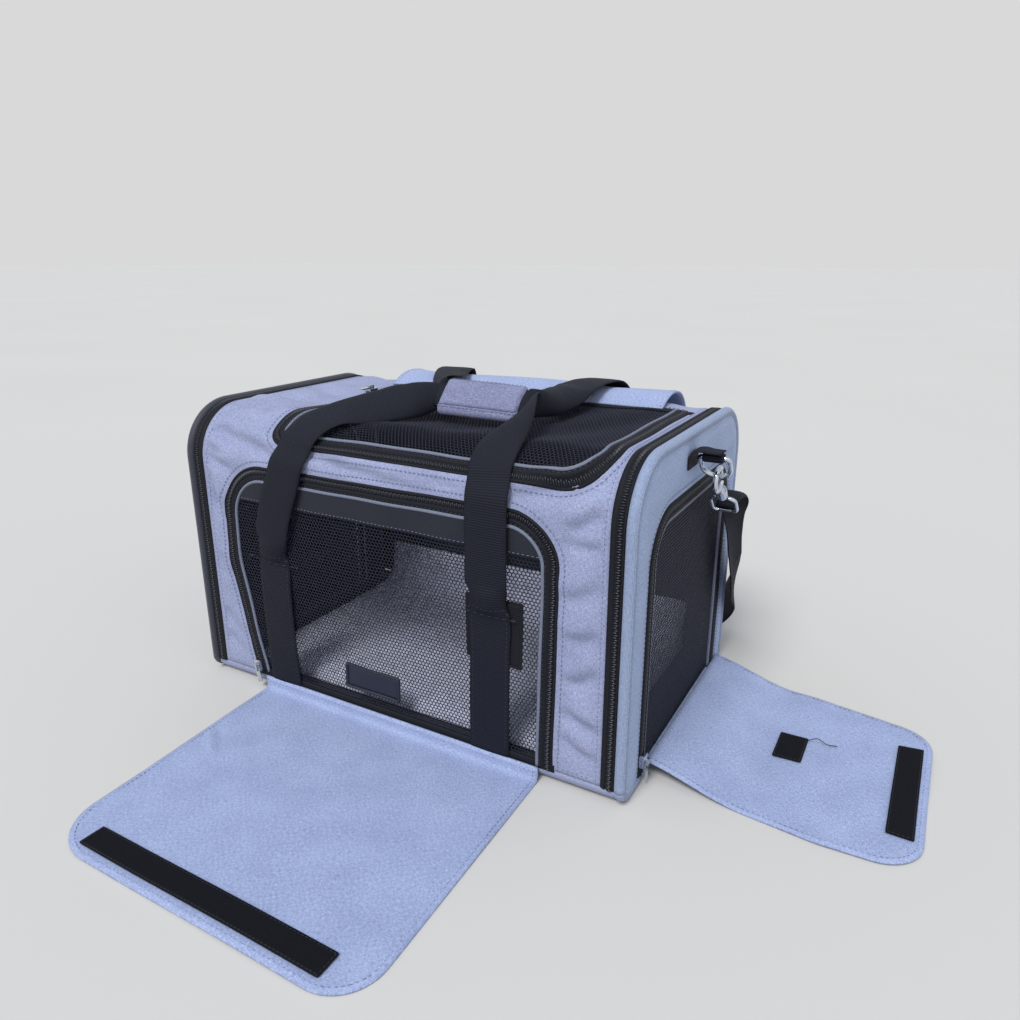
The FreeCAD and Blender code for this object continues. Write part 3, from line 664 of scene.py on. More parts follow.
def webbing_finish(name, base, light):
    """Ribbed woven strap: ribs across it and fine rows along it."""
    rough = 0.7
    f = Finish(name, rough, Specular_IOR_Level=0.3)
    ribs = f.wave(2.1, "Y")
    rows = f.wave(1.25, "X")
    lumps = f.math("MULTIPLY", ribs, rows)
    wear = f.noise(1.4, (1, 2.5, 1), 3)
    f.colour(f.ramp(f.math("ADD", f.math("MULTIPLY", lumps, 0.6), f.math("MULTIPLY", wear, 0.4)),
                    (0.15, base), (0.85, light)))
    f.bump(f.math("ADD", lumps, f.math("MULTIPLY", ribs, 0.5)), 0.35, 0.9)
    f.rough(wear, rough - 0.1, rough + 0.12)
    return f.material


def fine_cloth(name, base, light, pitch, rough, **fixed):
    """Plain tight weave, for tape, piping and lining."""
    f = Finish(name, rough, **fixed)
    grain = f.noise(0.9, (1, 2, 1), 3)
    weave = f.math("MULTIPLY", f.wave(pitch, "X"), f.wave(pitch, "Y"))
    f.colour(f.ramp(f.math("ADD", f.math("MULTIPLY", weave, 0.4), f.math("MULTIPLY", grain, 0.6)),
                    (0.25, base), (0.75, light)))
    f.bump(f.math("ADD", weave, grain), 0.15, 0.7)
    f.rough(grain, rough - 0.08, rough + 0.1)
    return f.material


def solid_finish(name, base, light, rough, size, relief, where="part", spread=0.1, **fixed):
    """Moulded, drawn or plated surface with slight marks."""
    f = Finish(name, rough, where, **fixed)
    marks = f.noise(size, detail=4)
    f.colour(f.ramp(marks, (0.3, base), (0.7, light)))
    f.rough(f.noise(size * 3, detail=3), max(0.02, rough - spread), rough + spread)
    f.bump(marks, relief, 0.6)
    return f.material


def fleece_finish(name):
    f = Finish(name, 0.95, "part", Sheen_Weight=0.5, Sheen_Roughness=0.6)
    pile = f.noise(3.2, detail=5)
    curls = f.noise(9, detail=3)
    f.colour(f.ramp(f.math("ADD", f.math("MULTIPLY", pile, 0.6), f.math("MULTIPLY", curls, 0.4)),
                    (0.3, srgb(184, 188, 218)), (0.5, srgb(213, 217, 240)), (0.66, srgb(233, 236, 251))))
    f.bump(f.math("ADD", pile, curls), 1.1, 1.0)
    return f.material


GREY = heather("heather_grey", srgb(106, 112, 143), srgb(136, 143, 175), srgb(168, 175, 204))
GREY_FLAP = heather("heather_flap", srgb(112, 123, 158), srgb(144, 157, 193), srgb(178, 191, 222))
GREY_PAD = heather("heather_wrap", srgb(78, 81, 110), srgb(113, 117, 149), srgb(150, 154, 182), where="part")
PANEL = heather("heather_panel", srgb(114, 131, 163), srgb(146, 162, 196), srgb(176, 192, 221))
LINING = fine_cloth("lining", srgb(34, 37, 50), srgb(52, 56, 72), 0.9, 0.8)
TAPE_CLOTH = fine_cloth("zipper_tape", srgb(7, 8, 14), srgb(22, 25, 38), 0.7, 0.7, Specular_IOR_Level=0.3)
COIL = solid_finish("zipper_coil", srgb(9, 10, 17), srgb(24, 27, 39), 0.4, 0.8, 0.03, "cloth")
WEBBING = webbing_finish("webbing", srgb(3, 5, 14), srgb(25, 30, 52))
WEBBING_SHORT = webbing_finish("webbing_patch", srgb(5, 6, 11), srgb(24, 27, 38))
PIPING = fine_cloth("piping", srgb(92, 98, 116), srgb(132, 139, 158), 0.8, 0.7)
RIM_LIGHT = fine_cloth("rim_light", srgb(112, 126, 157), srgb(166, 179, 206), 0.9, 0.72, Sheen_Weight=0.12)
# the rim piping's cloth darkened to near black: painted shade for the left end, which faces away from the light
RIM_PAINTED_SHADE = fine_cloth("rim_dark", srgb(22, 25, 36), srgb(52, 60, 82), 0.9, 0.6, Sheen_Weight=0.25)
NET = fine_cloth("net", srgb(16, 18, 30), srgb(44, 49, 70), 0.5, 0.55, Specular_IOR_Level=0.4)
LOOP_BAND = fine_cloth("loop_band", srgb(14, 16, 25), srgb(38, 43, 58), 1.0, 0.85)
THREAD_DARK = fine_cloth("thread_dark", srgb(28, 31, 42), srgb(56, 61, 78), 0.4, 0.6)
THREAD_GREY = fine_cloth("thread_grey", srgb(92, 101, 134), srgb(128, 139, 176), 0.4, 0.65)
HOOK_TAPE = solid_finish("hook_tape", srgb(5, 6, 10), srgb(15, 18, 26), 0.85, 0.9, 0.05, "cloth",
                         Specular_IOR_Level=0.2)
RUBBER = solid_finish("label_rubber", srgb(20, 22, 35), srgb(31, 34, 50), 0.5, 0.7, 0.05, "cloth")
FLEECE = fleece_finish("fleece")
CHROME = solid_finish("bright_metal", srgb(196, 200, 206), srgb(222, 226, 232), 0.16, 2.5, 0.01, spread=0.07,
                      Metallic=1.0)
STEEL = solid_finish("spring_steel", srgb(120, 122, 128), srgb(150, 152, 158), 0.34, 2.0, 0.02, Metallic=1.0)
PLASTIC = solid_finish("black_plastic", srgb(24, 25, 30), srgb(34, 35, 41), 0.38, 0.9, 0.03)
BOARD = solid_finish("board_plastic", srgb(52, 54, 60), srgb(66, 68, 75), 0.55, 1.6, 0.05)

# the CAD nodes that stay in sight
CAD_FINISH = {"bright_metal": CHROME, "spring_steel": STEEL, "black_plastic": PLASTIC, "board_plastic": BOARD}
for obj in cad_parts.values():
    slots = [material.name.split(".")[0] for material in obj.data.materials]
    for k, slot in enumerate(slots):
        if slot in CAD_FINISH:
            obj.data.materials[k] = CAD_FINISH[slot]

# ---- body fabric ----

LAP = 7.0                                     # how far a window's zipper tape laps over the fabric round it
STITCH_OUT, STITCH_IN = -2.2, 14.2            # rows of stitches either side of a zipper, from the opening's edge
ZIP_X = 225.0                                 # outer edge of the end zippers
RIM_X = 227.0                                 # middle of the corded rims
RIM_R = 4.7
NET_LAP = 2.6                                 # a net runs this far out under its piping
END_HALF = 138.4                              # the padded end panel stops inside its rim
END_LOW, END_HIGH = 1.6, 278.4
SILL_Z_END = 10.3                             # foot of the end doors' openings

FRONT_LINE = path_of([(x, s_of_z(z)) for x, z in FRONT_DOOR], FRONT_RADII, 3.0)
TOP_LINE = path_of([(x, s_of_y(y)) for x, y in TOP_DOOR], TOP_RADII, 3.0)
END_LINE = path_of(END_DOOR, END_RADII, 3.0)


def inset_line(line, inwards, ends=0.0):
    """The outline moved inwards, with its two ends carried on by a few millimetres."""
    moved = line + normals(line) * inwards
    first = moved[0] - (moved[1] - moved[0]) / np.linalg.norm(moved[1] - moved[0]) * ends
    last = moved[-1] + (moved[-1] - moved[-2]) / np.linalg.norm(moved[-1] - moved[-2]) * ends
    return np.concatenate([[first], moved, [last]]) if ends else moved


body = Cloth()
cut_sheet(body, (-BODY_X, BODY_X), (0, REAR_SEAM), 3.6, shell, FABRIC,
          holes=[inset_line(FRONT_LINE, LAP, 12), inset_line(TOP_LINE, LAP)])
body.make("body_fabric", [GREY, LINING], "bag", "grey_fabric", ["front_panel", "rear_panel", "top_panel"],
          recalc=False)

base = Cloth()
cut_sheet(base, (-ZIP_X, ZIP_X), (REAR_SEAM, GIRTH), 6, shell, 2.0)
base.make("base_fabric", [GREY, LINING], "bag", "grey_fabric", ["base_panel"], recalc=False)

# ---- ends ----

# both rims are the same light piping; the left one takes the darkened copy of its cloth, painted shade
rims = {1: RIM_LIGHT, -1: RIM_PAINTED_SHADE}
for side, name in ((1, "right"), (-1, "left")):
    wall = end_wall(side)
    outer = path_of([(END_HALF, END_LOW), (END_HALF, END_HIGH), (-END_HALF, END_HIGH), (-END_HALF, END_LOW)],
                    [12, 48, 48, 12], 3.0, closed=True)
    opening = np.maximum(inset_line(END_LINE, LAP), (-END_HALF, SILL_Z_END))
    panel = Cloth()
    cut_sheet(panel, (-END_HALF, END_HALF), (END_LOW, END_HIGH), 4.0, wall, 3.2, holes=[opening], outer=outer)
    panel.make("end_fabric_" + name, [PANEL, LINING], "bag", "panel_fabric", ["end_panel_" + name])

    s_line = np.arange(0, REAR_SEAM + 1, 3.0)
    edge = laid(ZIP_X * side, s_line)[::side, :2]
    closing = Cloth()
    zipper(closing, edge, shell, 14.0)
    closing.make("end_zip_" + name, [TAPE_CLOTH, COIL], "bag", "black_zipper", ["end_zipper_" + name])

    s_ring = np.append(np.arange(0, GIRTH, 4.0), GIRTH)
    ring = laid(RIM_X * side, s_ring)[:, :2]
    lower = -3.2 * smooth((s_ring - REAR_SEAM) / 15) * smooth((GIRTH - s_ring) / 15)
    rim = Cloth()
    tube(rim, ring, RIM_R, shell, -1.5, sides=14, shift=lower)
    rim.make("rim_" + name, [rims[side]], "bag", "light_piping", ["piping"])

    door_zip = Cloth()
    zipper(door_zip, END_LINE, wall)
    door_zip.make("door_zip_" + name, [TAPE_CLOTH, COIL], "bag", "black_zipper", ["door_zipper_" + name])
    cord_line = inset_line(END_LINE, PIPE_IN)
    cord_line = cord_line[cord_line[:, 1] > SILL_Z_END]
    door_cord = Cloth()
    tube(door_cord, cord_line, 1.6, wall, -1.0)
    door_cord.make("door_cord_" + name, [PIPING], "door_" + name, "light_piping", ["door_piping_" + name])
    door_net = Cloth()
    net_line = np.maximum(inset_line(END_LINE, PIPE_IN - NET_LAP), (-END_HALF, SILL_Z_END - 0.7))
    perforated(door_net, net_line, wall, -2.3, open_share=0.5)
    door_net.make("door_net_" + name, [NET], "door_" + name, "black_mesh", ["door_mesh_" + name], recalc=False)
    end_seams = Cloth()
    for mark, aside in enumerate((STITCH_OUT, STITCH_IN)):
        stitches(end_seams, END_LINE, wall, 1.0, mark, aside=aside)
    end_seams.make("end_stitching_" + name, [THREAD_GREY, THREAD_DARK], "bag", "panel_fabric")

# ---- front and top windows ----

for name, line in (("front", FRONT_LINE), ("top", TOP_LINE)):
    run = Cloth()
    zipper(run, line, shell)
    run.make(name + "_zip", [TAPE_CLOTH, COIL], "bag", "black_zipper", [name + "_zipper"])
    cord_line = inset_line(line, PIPE_IN)
    edge_cord = Cloth()
    tube(edge_cord, cord_line, 1.5, shell, 0.35)
    edge_cord.make(name + "_cord", [PIPING], "bag", "light_piping")
    net = Cloth()
    perforated(net, inset_line(line, PIPE_IN - NET_LAP, 1.5), shell, -1.1)
    net.make(name + "_net", [NET], "bag", "black_mesh", [name + "_mesh"], recalc=False)

hem = Cloth()
rear_s = s_of_y(66)
sweep(hem, np.array([(x, rear_s) for x in np.arange(205, -131, -5.0)]),
      [(-3, -0.4), (-2, 0.7), (1, 0.9), (7, 0.9), (8, 0.3), (7, -1.8), (-2, -1.8)], shell)
sweep(hem, np.array([(x, 0.0) for x in np.arange(170, -167, -5.0)]),
      [(-5, -1.8), (-5.2, 0.2), (-4.4, 0.7), (1.0, 0.7), (2.0, 0.2), (2.0, -1.8)], shell)
hem.make("net_hems", [TAPE_CLOTH], "bag", "black_zipper")

BAND_S = 197.0 - BASE_R
inner = inset_line(FRONT_LINE, 15.6)
inner = inner[inner[:, 1] > BAND_S - 0.01]
band_line = np.concatenate([[(inner[0, 0], BAND_S)], inner, [(inner[-1, 0], BAND_S)]])
band = Cloth()
cut_sheet(band, (-185, 170), (BAND_S, 210), 3.0, lambda u, v, h: shell(u, v, h + 1.1), 1.7, outer=band_line,
          lined=False)
band.make("front_loop_band", [LOOP_BAND], "bag", "black_webbing", ["front_loop_band"])

seams = Cloth()
for line in (FRONT_LINE, TOP_LINE):
    stitches(seams, line, shell, 0.9, 0, aside=STITCH_OUT)
    stitches(seams, line, shell, 1.3, 1, aside=STITCH_IN - 0.2)
band_edge = np.array([(band_line[0, 0] - 2, BAND_S + 2.2), (band_line[-1, 0] + 2, BAND_S + 2.2)])
stitches(seams, resample(band_edge, 3.0), shell, 1.2, 0)
for x in (-206.5, 206.5):
    stitches(seams, np.array([(x, s) for s in np.arange(2, REAR_SEAM, 4.0)]), shell, 0.15, 0)
for x0, x1, s in ((-208, -172, 4.0), (176, 208, 4.0), (-208, 208, REAR_SEAM - 4.0)):
    stitches(seams, np.array([(x, s) for x in np.arange(x0, x1, 4.0)]), shell, 0.15, 0)
stitches(seams, np.array([(x, rear_s + 4) for x in np.arange(-128, 203, 4.0)]), shell, 0.9, 1)
seams.make("body_stitching", [THREAD_GREY, THREAD_DARK], "bag", "grey_fabric")


def patch(name, corners, radius, surface, height, thick, materials, slot, node, frame_height=0.0):
    """Small sewn patch with a raised border."""
    line = path_of(corners, [radius] * 4, 1.0, closed=True)
    rows = []
    places = []
    steps = [(0.0, -thick), (-0.1, 0.0), (0.25, frame_height), (2.0, frame_height), (2.5, 0.0)]
    for inward, h in steps:
        spot = line + normals(line, True) * inward
        rows.append(surface(spot[:, 0], spot[:, 1], height + h))
        places.append(laid(*spot.T, h))
    c = Cloth()
    c.grid(np.stack(rows), np.stack(places), caps=False)
    core = line + normals(line, True) * 2.5
    u0, v0 = core.min(0)
    u1, v1 = core.max(0)
    cut_sheet(c, (u0, u1), (v0, v1), 2.5, lambda u, v, h: surface(u, v, h + height), thick, outer=core,
              lined=False)
    return c.make(name, materials, "bag", slot, [node])


patch("label", [(-49, 16), (14, 16), (14, 41), (-49, 41)], 2.5, shell, 0.1, 1.2, [RUBBER], "label_rubber",
      "label_patch", 0.9)
patch("webbing_square", [(86, 84), (139, 84), (139, 142), (86, 142)], 1.5, shell, -0.1, 0.8, [WEBBING_SHORT],
      "black_webbing", "webbing_patch", 0.25)

# ---- webbing ----

FOLD = np.linspace(0.02, 2.4, 120)


def spline(stations, step):
    """Smooth run through stations of (centre, across, chord)."""
    data = np.array([list(c) + list(a) + [w] for c, a, w in stations], float)
    gap = np.linalg.norm(np.diff(data[:, :3], axis=0), axis=1)
    t = np.concatenate([[0], np.cumsum(gap)])
    slope = np.diff(data, axis=0) / gap[:, None]
    tangent = np.empty_like(data)
    tangent[0], tangent[-1] = slope[0], slope[-1]
    tangent[1:-1] = (slope[:-1] * gap[1:, None] + slope[1:] * gap[:-1, None]) / (gap[:-1] + gap[1:])[:, None]
    at = np.linspace(0, t[-1], int(t[-1] / step) + 2)
    k = np.clip(np.searchsorted(t, at, side="right") - 1, 0, len(gap) - 1)
    h = gap[k]
    u = ((at - t[k]) / h)[:, None]
    h = h[:, None]
    return (data[k] * (1 + 2 * u) * (1 - u) ** 2 + data[k + 1] * u * u * (3 - 2 * u)
            + tangent[k] * h * u * (1 - u) ** 2 - tangent[k + 1] * h * u * u * (1 - u))


class Ribbon:
    """Webbing along a run: where the chord is narrower than the webbing, it cups."""

    def __init__(self, stations, up, wide=WEB, cup=6.0, step=3.5, thick=WEB_THICK):
        data = spline(stations, step)
        self.wide, self.thick = wide, thick
        self.centre, across, self.chord = data[:, :3], data[:, 3:6], data[:, 6]
        along = np.gradient(self.centre, axis=0)
        along = along / np.linalg.norm(along, axis=1, keepdims=True)
        across = across - along * np.sum(along * across, axis=1, keepdims=True)
        self.across = across / np.linalg.norm(across, axis=1, keepdims=True)
        facing = np.cross(along, self.across)
        self.facing = facing * (1 if facing[0] @ np.array(up, float) >= 0 else -1)
        self.run = runs(self.centre)
        share = np.clip(self.chord / wide, 0.28, 0.9995)
        self.half = np.interp(share, (np.sin(FOLD) / FOLD)[::-1], FOLD[::-1])
        self.radius = self.chord / 2 / np.sin(np.minimum(self.half, math.pi / 2))
        deep = self.radius * (1 - np.cos(self.half))
        free = np.where(np.linalg.norm(self.centre - (GRIP_LEFT + GRIP_RIGHT) / 2, axis=1) < 46, 1.6, cup)
        free = np.convolve(np.pad(free, 3, mode="edge"), np.ones(7) / 7, mode="valid")
        self.cup = np.minimum(1, free / np.maximum(deep, 1e-6))

    def on(self, t, v, h):
        """Point at t of the half width (-1 to 1), v along the run, h over the middle of the webbing."""
        t, v = np.broadcast_arrays(np.asarray(t, float), np.asarray(v, float))
        take = [np.interp(v, self.run, column) for column in
                (*self.centre.T, *self.across.T, *self.facing.T, self.half, self.radius, self.cup)]
        centre, across, facing = (np.stack(take[i:i + 3], axis=-1) for i in (0, 3, 6))
        half, radius, cup = take[9:]
        x = radius * np.sin(half * t)
        z = radius * (np.cos(half * t) - np.cos(half)) * cup
        z = z - radius * (1 - np.cos(half)) * cup * 0.5
        return centre + across * x[..., None] + facing * (z + h)[..., None]

    def build(self, cloth, mark=0):
        t = np.linspace(-1, 1, 13)
        top = 0.5 * self.thick * (1 - 0.55 * np.abs(t) ** 10)
        ring_t = np.concatenate([t, t[::-1]])
        ring_h = np.concatenate([top, -top[::-1]])
        v = self.run[:, None]
        points = self.on(ring_t[None, :], v, ring_h[None, :])
        place = np.stack(np.broadcast_arrays(ring_t[None, :] * self.wide / 2, v, ring_h[None, :]), axis=-1)
        cloth.grid(points, place, mark)

    def stitch(self, cloth, line):
        half = self.wide / 2
        stitches(cloth, np.array(line), lambda u, v, h: self.on(u / half, v, h), self.thick / 2, 1)

    def sew(self, cloth, v0, v1, reach=0.84):
        """Two rows of stitches along it, at a share of its half width."""
        for t in (-reach, reach):
            self.stitch(cloth, [(t * self.wide / 2, v) for v in np.arange(v0, v1, 3.0)])

    def sew_across(self, cloth, v, reach=0.84):
        self.stitch(cloth, [(u, v) for u in np.linspace(-reach * self.wide / 2, reach * self.wide / 2, 12)])


def wall_point(x, z, front, proud):
    """Station on the front or rear wall's cloth."""
    s = z - BASE_R if front else REAR_SEAM - (z - BASE_R)
    p = shell(x, np.clip(s, 0, REAR_SEAM), proud)
    return (x, float(p[1]), z)


def leg(points, front, across):
    """Webbing leg: sewn to the wall where its height off it is None, and free elsewhere."""
    out = []
    for x, z, off in points:
        if off is None:
            out.append((wall_point(x, z, front, 1.7), across, WEB))
        else:
            face = HALF + 1.2 + off
            pinch = 5.0 if front and z in (152, 153) else 0.0
            out.append(((x, -face if front else face, z), across, WEB - pinch))
    return out


GRIP_LEFT = np.array((5, -43, 297.5))
GRIP_RIGHT = np.array((87, -41, 296))
ALONG = (GRIP_RIGHT - GRIP_LEFT) / np.linalg.norm(GRIP_RIGHT - GRIP_LEFT)
ACROSS = np.array((0.10, 0.70, 0.71))
ACROSS = ACROSS - ALONG * (ACROSS @ ALONG)
ACROSS = ACROSS / np.linalg.norm(ACROSS)
FACING = np.cross(ALONG, ACROSS)
LANE = FACING * 1.6


def through_grip(lane, across):
    """Stations that carry a handle straight through the wrap."""
    span = GRIP_RIGHT - GRIP_LEFT
    return [(GRIP_LEFT + span * k + lane, across, 27) for k in (-0.05, 0.12, 0.3, 0.5, 0.7, 0.88, 1.05)]


RIGHTWARD, LEFTWARD = (1, 0, 0), (-1, 0, 0)


def make_handle(name, stations, up, sewn, nodes):
    """A handle and its two legs, which are sewn down for their first stretch and lift with it from there."""
    ribbon = Ribbon(stations, up)
    strap = Cloth()
    ribbon.build(strap)
    end = ribbon.run[-1]
    for v0, v1 in ((4, sewn), (end - sewn, end - 4)):
        ribbon.sew(strap, v0, v1)
    for v in (sewn - 2, sewn - 10, end - sewn + 2, end - sewn + 10):
        ribbon.sew_across(strap, v)
    piece = strap.make(name, [WEBBING, THREAD_DARK], None, "black_webbing", nodes)
    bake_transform(piece)


# stations of each leg: x, z and height off the wall where it is free
front_left = [(-124.8, 13.5, None), (-126, 40, None), (-127.5, 80, None), (-128.2, 120, None), (-128.4, 141, None),
              (-127.5, 152, 3.0), (-124, 168, 4.2), (-118, 190, 4.0), (-104, 224, 4.0), (-97, 243, 2.4)]
front_right = [(109, 243, 2.4), (109, 224, 4.0), (109, 190, 4.4), (109, 168, 4.4), (109, 153, 3.2),
               (109, 142, None), (109, 110, None), (109, 70, None), (109, 36, None), (109, 13.5, None)]
loop_front = [((-93, -137.6, 254.5), (1, 0, 0), WEB), ((-90.4, -134.6, 261.6), (1, 0, 0), WEB),
              ((-84, -125, 272.5), (1, -0.19, -0.18), WEB), ((-68, -106, 283), (0.78, -0.57, -0.34), WEB),
              ((-44, -84, 288), (0.5, -0.58, -0.64), 37), ((-17, -61, 293.5), (0.2, -0.6, -0.78), 35),
              *through_grip(-LANE, -ACROSS),
              ((98, -50, 294), (-0.15, -0.2, -0.95), 24), ((101, -64, 293), (-0.5, 0, -0.85), 26),
              ((103, -82, 290.5), (-0.85, 0, -0.5), 31), ((105, -104, 284), (-1, 0, -0.1), 36),
              ((106.5, -122.6, 274), (-1, 0, 0), WEB), ((107.2, -134.6, 261.6), (-1, 0, 0), WEB),
              ((108, -137.8, 254), (-1, 0, 0), WEB)]
make_handle("handle_web_front", leg(front_left, True, RIGHTWARD) + loop_front + leg(front_right, True, LEFTWARD),
            (0, -1, 0), 138, ["front_webbing_left", "front_webbing_right", "handle_front"])

rear_left = [(-95, 3, None), (-95, 60, None), (-95, 120, None), (-95, 142, 4.6), (-95, 190, 5.2), (-95, 224, 5.4),
             (-95, 243, 4.6), (-94.5, 254, 4.0)]
rear_right = [(100, 254, 4.0), (100, 243, 4.6), (100, 224, 5.4), (100, 190, 5.2), (100, 142, 4.6), (100, 120, None),
              (100, 60, None), (100, 3, None)]
loop_rear = [((-94, 143.2, 264.5), (1, 0, 0), WEB), ((-91, 137.2, 281.5), (1, 0, 0), WEB),
             ((-85, 122, 294), (1, 0.1, 0), WEB), ((-76, 100, 297.5), (0.95, 0.3, 0), WEB),
             ((-52, 52, 299), (0.8, 0.5, 0.1), 35), ((-24, 6, 299.5), (0.6, 0.6, 0.5), 32),
             ((-8, -20, 299.5), (0.2, 0.65, 0.7), 29), *through_grip(LANE, ACROSS),
             ((99, -30, 294.5), (0, 0.3, 0.95), 24),
             ((101, -14, 294.5), (-0.5, 0, 0.85), 26), ((98, 12, 295.5), (-0.85, 0, 0.5), 32),
             ((94, 50, 297), (-1, 0, 0.1), WEB), ((95, 100, 297.5), (-1, 0, 0), WEB),
             ((97, 122, 294), (-1, 0, 0), WEB),
             ((99, 137.2, 281.5), (-1, 0, 0), WEB), ((100, 143.2, 264.5), (-1, 0, 0), WEB)]
make_handle("handle_web_rear", leg(rear_left, False, RIGHTWARD) + loop_rear + leg(rear_right, False, LEFTWARD),
            (0, 1, 0), 114, ["rear_webbing", "handle_rear"])

# ---- shoulder strap ----

strap_right = [((249.5, 31.8, 205.4), (1, 0, 0), 18), ((249.8, 35, 210.5), (1, 0, 0), 18.5),
               ((250, 42, 214), (1, 0, 0), 20), ((249.5, 55, 213), (1, 0.1, 0), 22),
               ((248.5, 68, 202), (0.85, 0.4, 0.3), 25), ((247, 80, 180), (0.35, 0.75, 0.55), 29),
               ((246, 92, 152), (0.1, 0.85, 0.5), 34), ((246, 105, 124), (0, 0.9, 0.4), 37)]
strap_middle = [((246, 105, 124), (0, 0.9, 0.4), 37), ((243.5, 122, 100), (-0.1, 0.9, 0.3), WEB),
                ((237, 146, 78), (-0.4, 0.85, 0), WEB), ((224, 168, 50), (-0.5, 0.85, -0.1), WEB),
                ((202, 187, 19), (-0.3, 0.95, 0), WEB), ((172, 203, 3.5), (-0.1, 1, 0), WEB),
                ((130, 206, 1.4), (0, 1, 0), WEB), ((60, 201, 1.4), (0.1, 1, 0), WEB),
                ((-20, 190, 1.4), (0.1, 1, 0), WEB),
                ((-95, 186, 1.4), (0, 1, 0), WEB), ((-150, 190, 1.6), (-0.1, 1, 0), WEB),
                ((-186, 193, 12), (-0.2, 0.95, 0), WEB), ((-214, 190, 42), (-0.3, 0.9, 0), WEB),
                ((-234, 182, 84), (0.2, 0.9, 0.2), WEB), ((-246, 170, 132), (0.15, 0.9, 0.35), 37)]
strap_left = [((-246, 170, 132), (0.15, 0.9, 0.35), 37), ((-252, 152, 178), (0.1, 0.75, 0.65), 34),
              ((-253, 124, 212), (-0.3, 0.5, 0.8), 30), ((-251, 92, 230), (-0.8, 0.1, 0.6), 25),
              ((-250, 58, 243.5), (-1, 0, 0), 19), ((-249.6, 54.4, 245.4), (-1, 0, 0), 18)]
for name, stations, body_name, start, finish_at, replaced in (
        ("shoulder_strap_right", strap_right, "ring_right", (0.247, 0.086, 0.170), (0.250, 0.040, 0.215), ()),
        ("shoulder_strap_left", strap_left, "ring_left", (-0.250, 0.140, 0.196), (-0.250, 0.062, 0.240), ()),
        ("shoulder_strap_middle", strap_middle, None, None, None, ("shoulder_strap",))):
    ribbon = Ribbon(stations, (1, 0, 1) if body_name else (-1, -1, 1), cup=4.0)
    strap = Cloth()
    ribbon.build(strap)
    if body_name:
        near = (3, 30) if name.endswith("right") else (ribbon.run[-1] - 30, ribbon.run[-1] - 3)
        ribbon.sew(strap, *near, 0.7)
        for v in near:
            ribbon.sew_across(strap, v, 0.7)
    if body_name:
        piece = strap.make(name, [WEBBING, THREAD_DARK], None, "black_webbing")
        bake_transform(piece)
    else:
        strap.make(name, [WEBBING], "bag", "black_webbing", replaced)

# ---- ring tabs ----

tabs = Cloth()
for side in (1, -1):
    sleeve = [((249.5 * side, -22 + 3.7 * math.sin(a), 263 + 3.7 * math.cos(a)), (1, 0, 0), 17)
              for a in np.linspace(-2.6, 2.6, 16)]
    Ribbon(sleeve, (0, 0, 1), wide=17, step=1.2, thick=1.5).build(tabs)
    arm = [((257 * side, -22, 267.9), (0, 1, 0), 17), ((248 * side, -22, 268.1), (0, 1, 0), 18),
           ((239 * side, -22, 268.6), (0, 1, 0), 21), ((234.4 * side, -22, 267), (0, 1, 0), 24),
           ((232.9 * side, -22, 262), (0, 1, 0), 26), ((232.7 * side, -22, 253), (0, 1, 0), 26)]
    tab = Ribbon(arm, (0, 0, 1), wide=26, cup=0.6, step=1.6, thick=1.5)
    tab.build(tabs)
    tab.sew(tabs, tab.run[-1] - 13, tab.run[-1] - 1)
tabs.make("ring_tabs_webbing", [WEBBING, THREAD_DARK], "bag", "black_webbing", ["ring_tabs"])

# ---- flaps ----

HEM = 6.0                                     # turned-over edge of a flap


def flap_sheet(outline_points, surface, thick):
    """Sheet cut to an outline, its edge turned over and sewn: the cloth, and its stitches."""
    loop = np.concatenate([outline_points, outline_points[:1]])

    def hemmed(u, v, h):
        u, v = np.broadcast_arrays(np.asarray(u, float), np.asarray(v, float))
        gap = nearest(np.stack([u.ravel(), v.ravel()], axis=1), loop)[1].reshape(u.shape)
        raised = 0.45 * smooth((HEM - gap) / 1.6) - 0.25 * bump((gap - HEM + 0.6) / 0.9)
        level = np.asarray(h, float) + thick / 2 + raised
        level = np.where(np.asarray(h) < -0.5, thick / 2 + h - 0.6 * raised, level)
        rounding = 0.55 * (1 - smooth(gap / 1.2))
        return surface(u, v, np.where(np.asarray(h) < -0.5, level + rounding, level - rounding))

    c = Cloth()
    low, high = outline_points.min(0), outline_points.max(0)
    cut_sheet(c, (low[0], high[0]), (low[1], high[1]), 4.0, hemmed, thick, outer=outline_points, lined=False)
    sewing = Cloth()
    stitches(sewing, np.concatenate([outline_points, outline_points[:2]]), hemmed, 0.0, 0, aside=HEM - 1.8)
    return c, sewing


def make_flap(name, cloth, sewing, finish, node, body_name, start, stop, flat, held, rests_on):
    """Makes the flap's cloth and its stitches, and bakes their placement into their meshes."""
    piece = cloth.make(name + "_cloth", [finish], None, "grey_fabric", [node])
    thread = sewing.make(name + "_stitching", [THREAD_GREY, THREAD_DARK], None, "grey_fabric")
    for part in (piece, thread):
        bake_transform(part)


HOOK_PITCH = 1.5
HOOK_TALL = 0.9


def fuzz(c, u_range, v_range, surface, height, seed):
    """Rows of little hooks."""
    rng = np.random.default_rng(seed)
    u, v = np.meshgrid(np.arange(*u_range, HOOK_PITCH), np.arange(*v_range, HOOK_PITCH))
    u = (u + rng.uniform(-0.25, 0.25, u.shape)).ravel()
    v = (v + rng.uniform(-0.25, 0.25, v.shape)).ravel()
    foot = [(-0.32, -0.28), (0.32, -0.28), (0.0, 0.36)]
    lean = rng.uniform(-0.35, 0.35, (2, len(u)))
    points = [surface(u + a, v + b, height) for a, b in foot]
    points.append(surface(u + lean[0], v + lean[1], height + HOOK_TALL))
    n = len(u)
    faces = [(i + a * n, i + b * n, i + 3 * n) for i in range(n) for a, b in ((0, 1), (1, 2), (2, 0))]
    c.add(np.concatenate(points), faces)


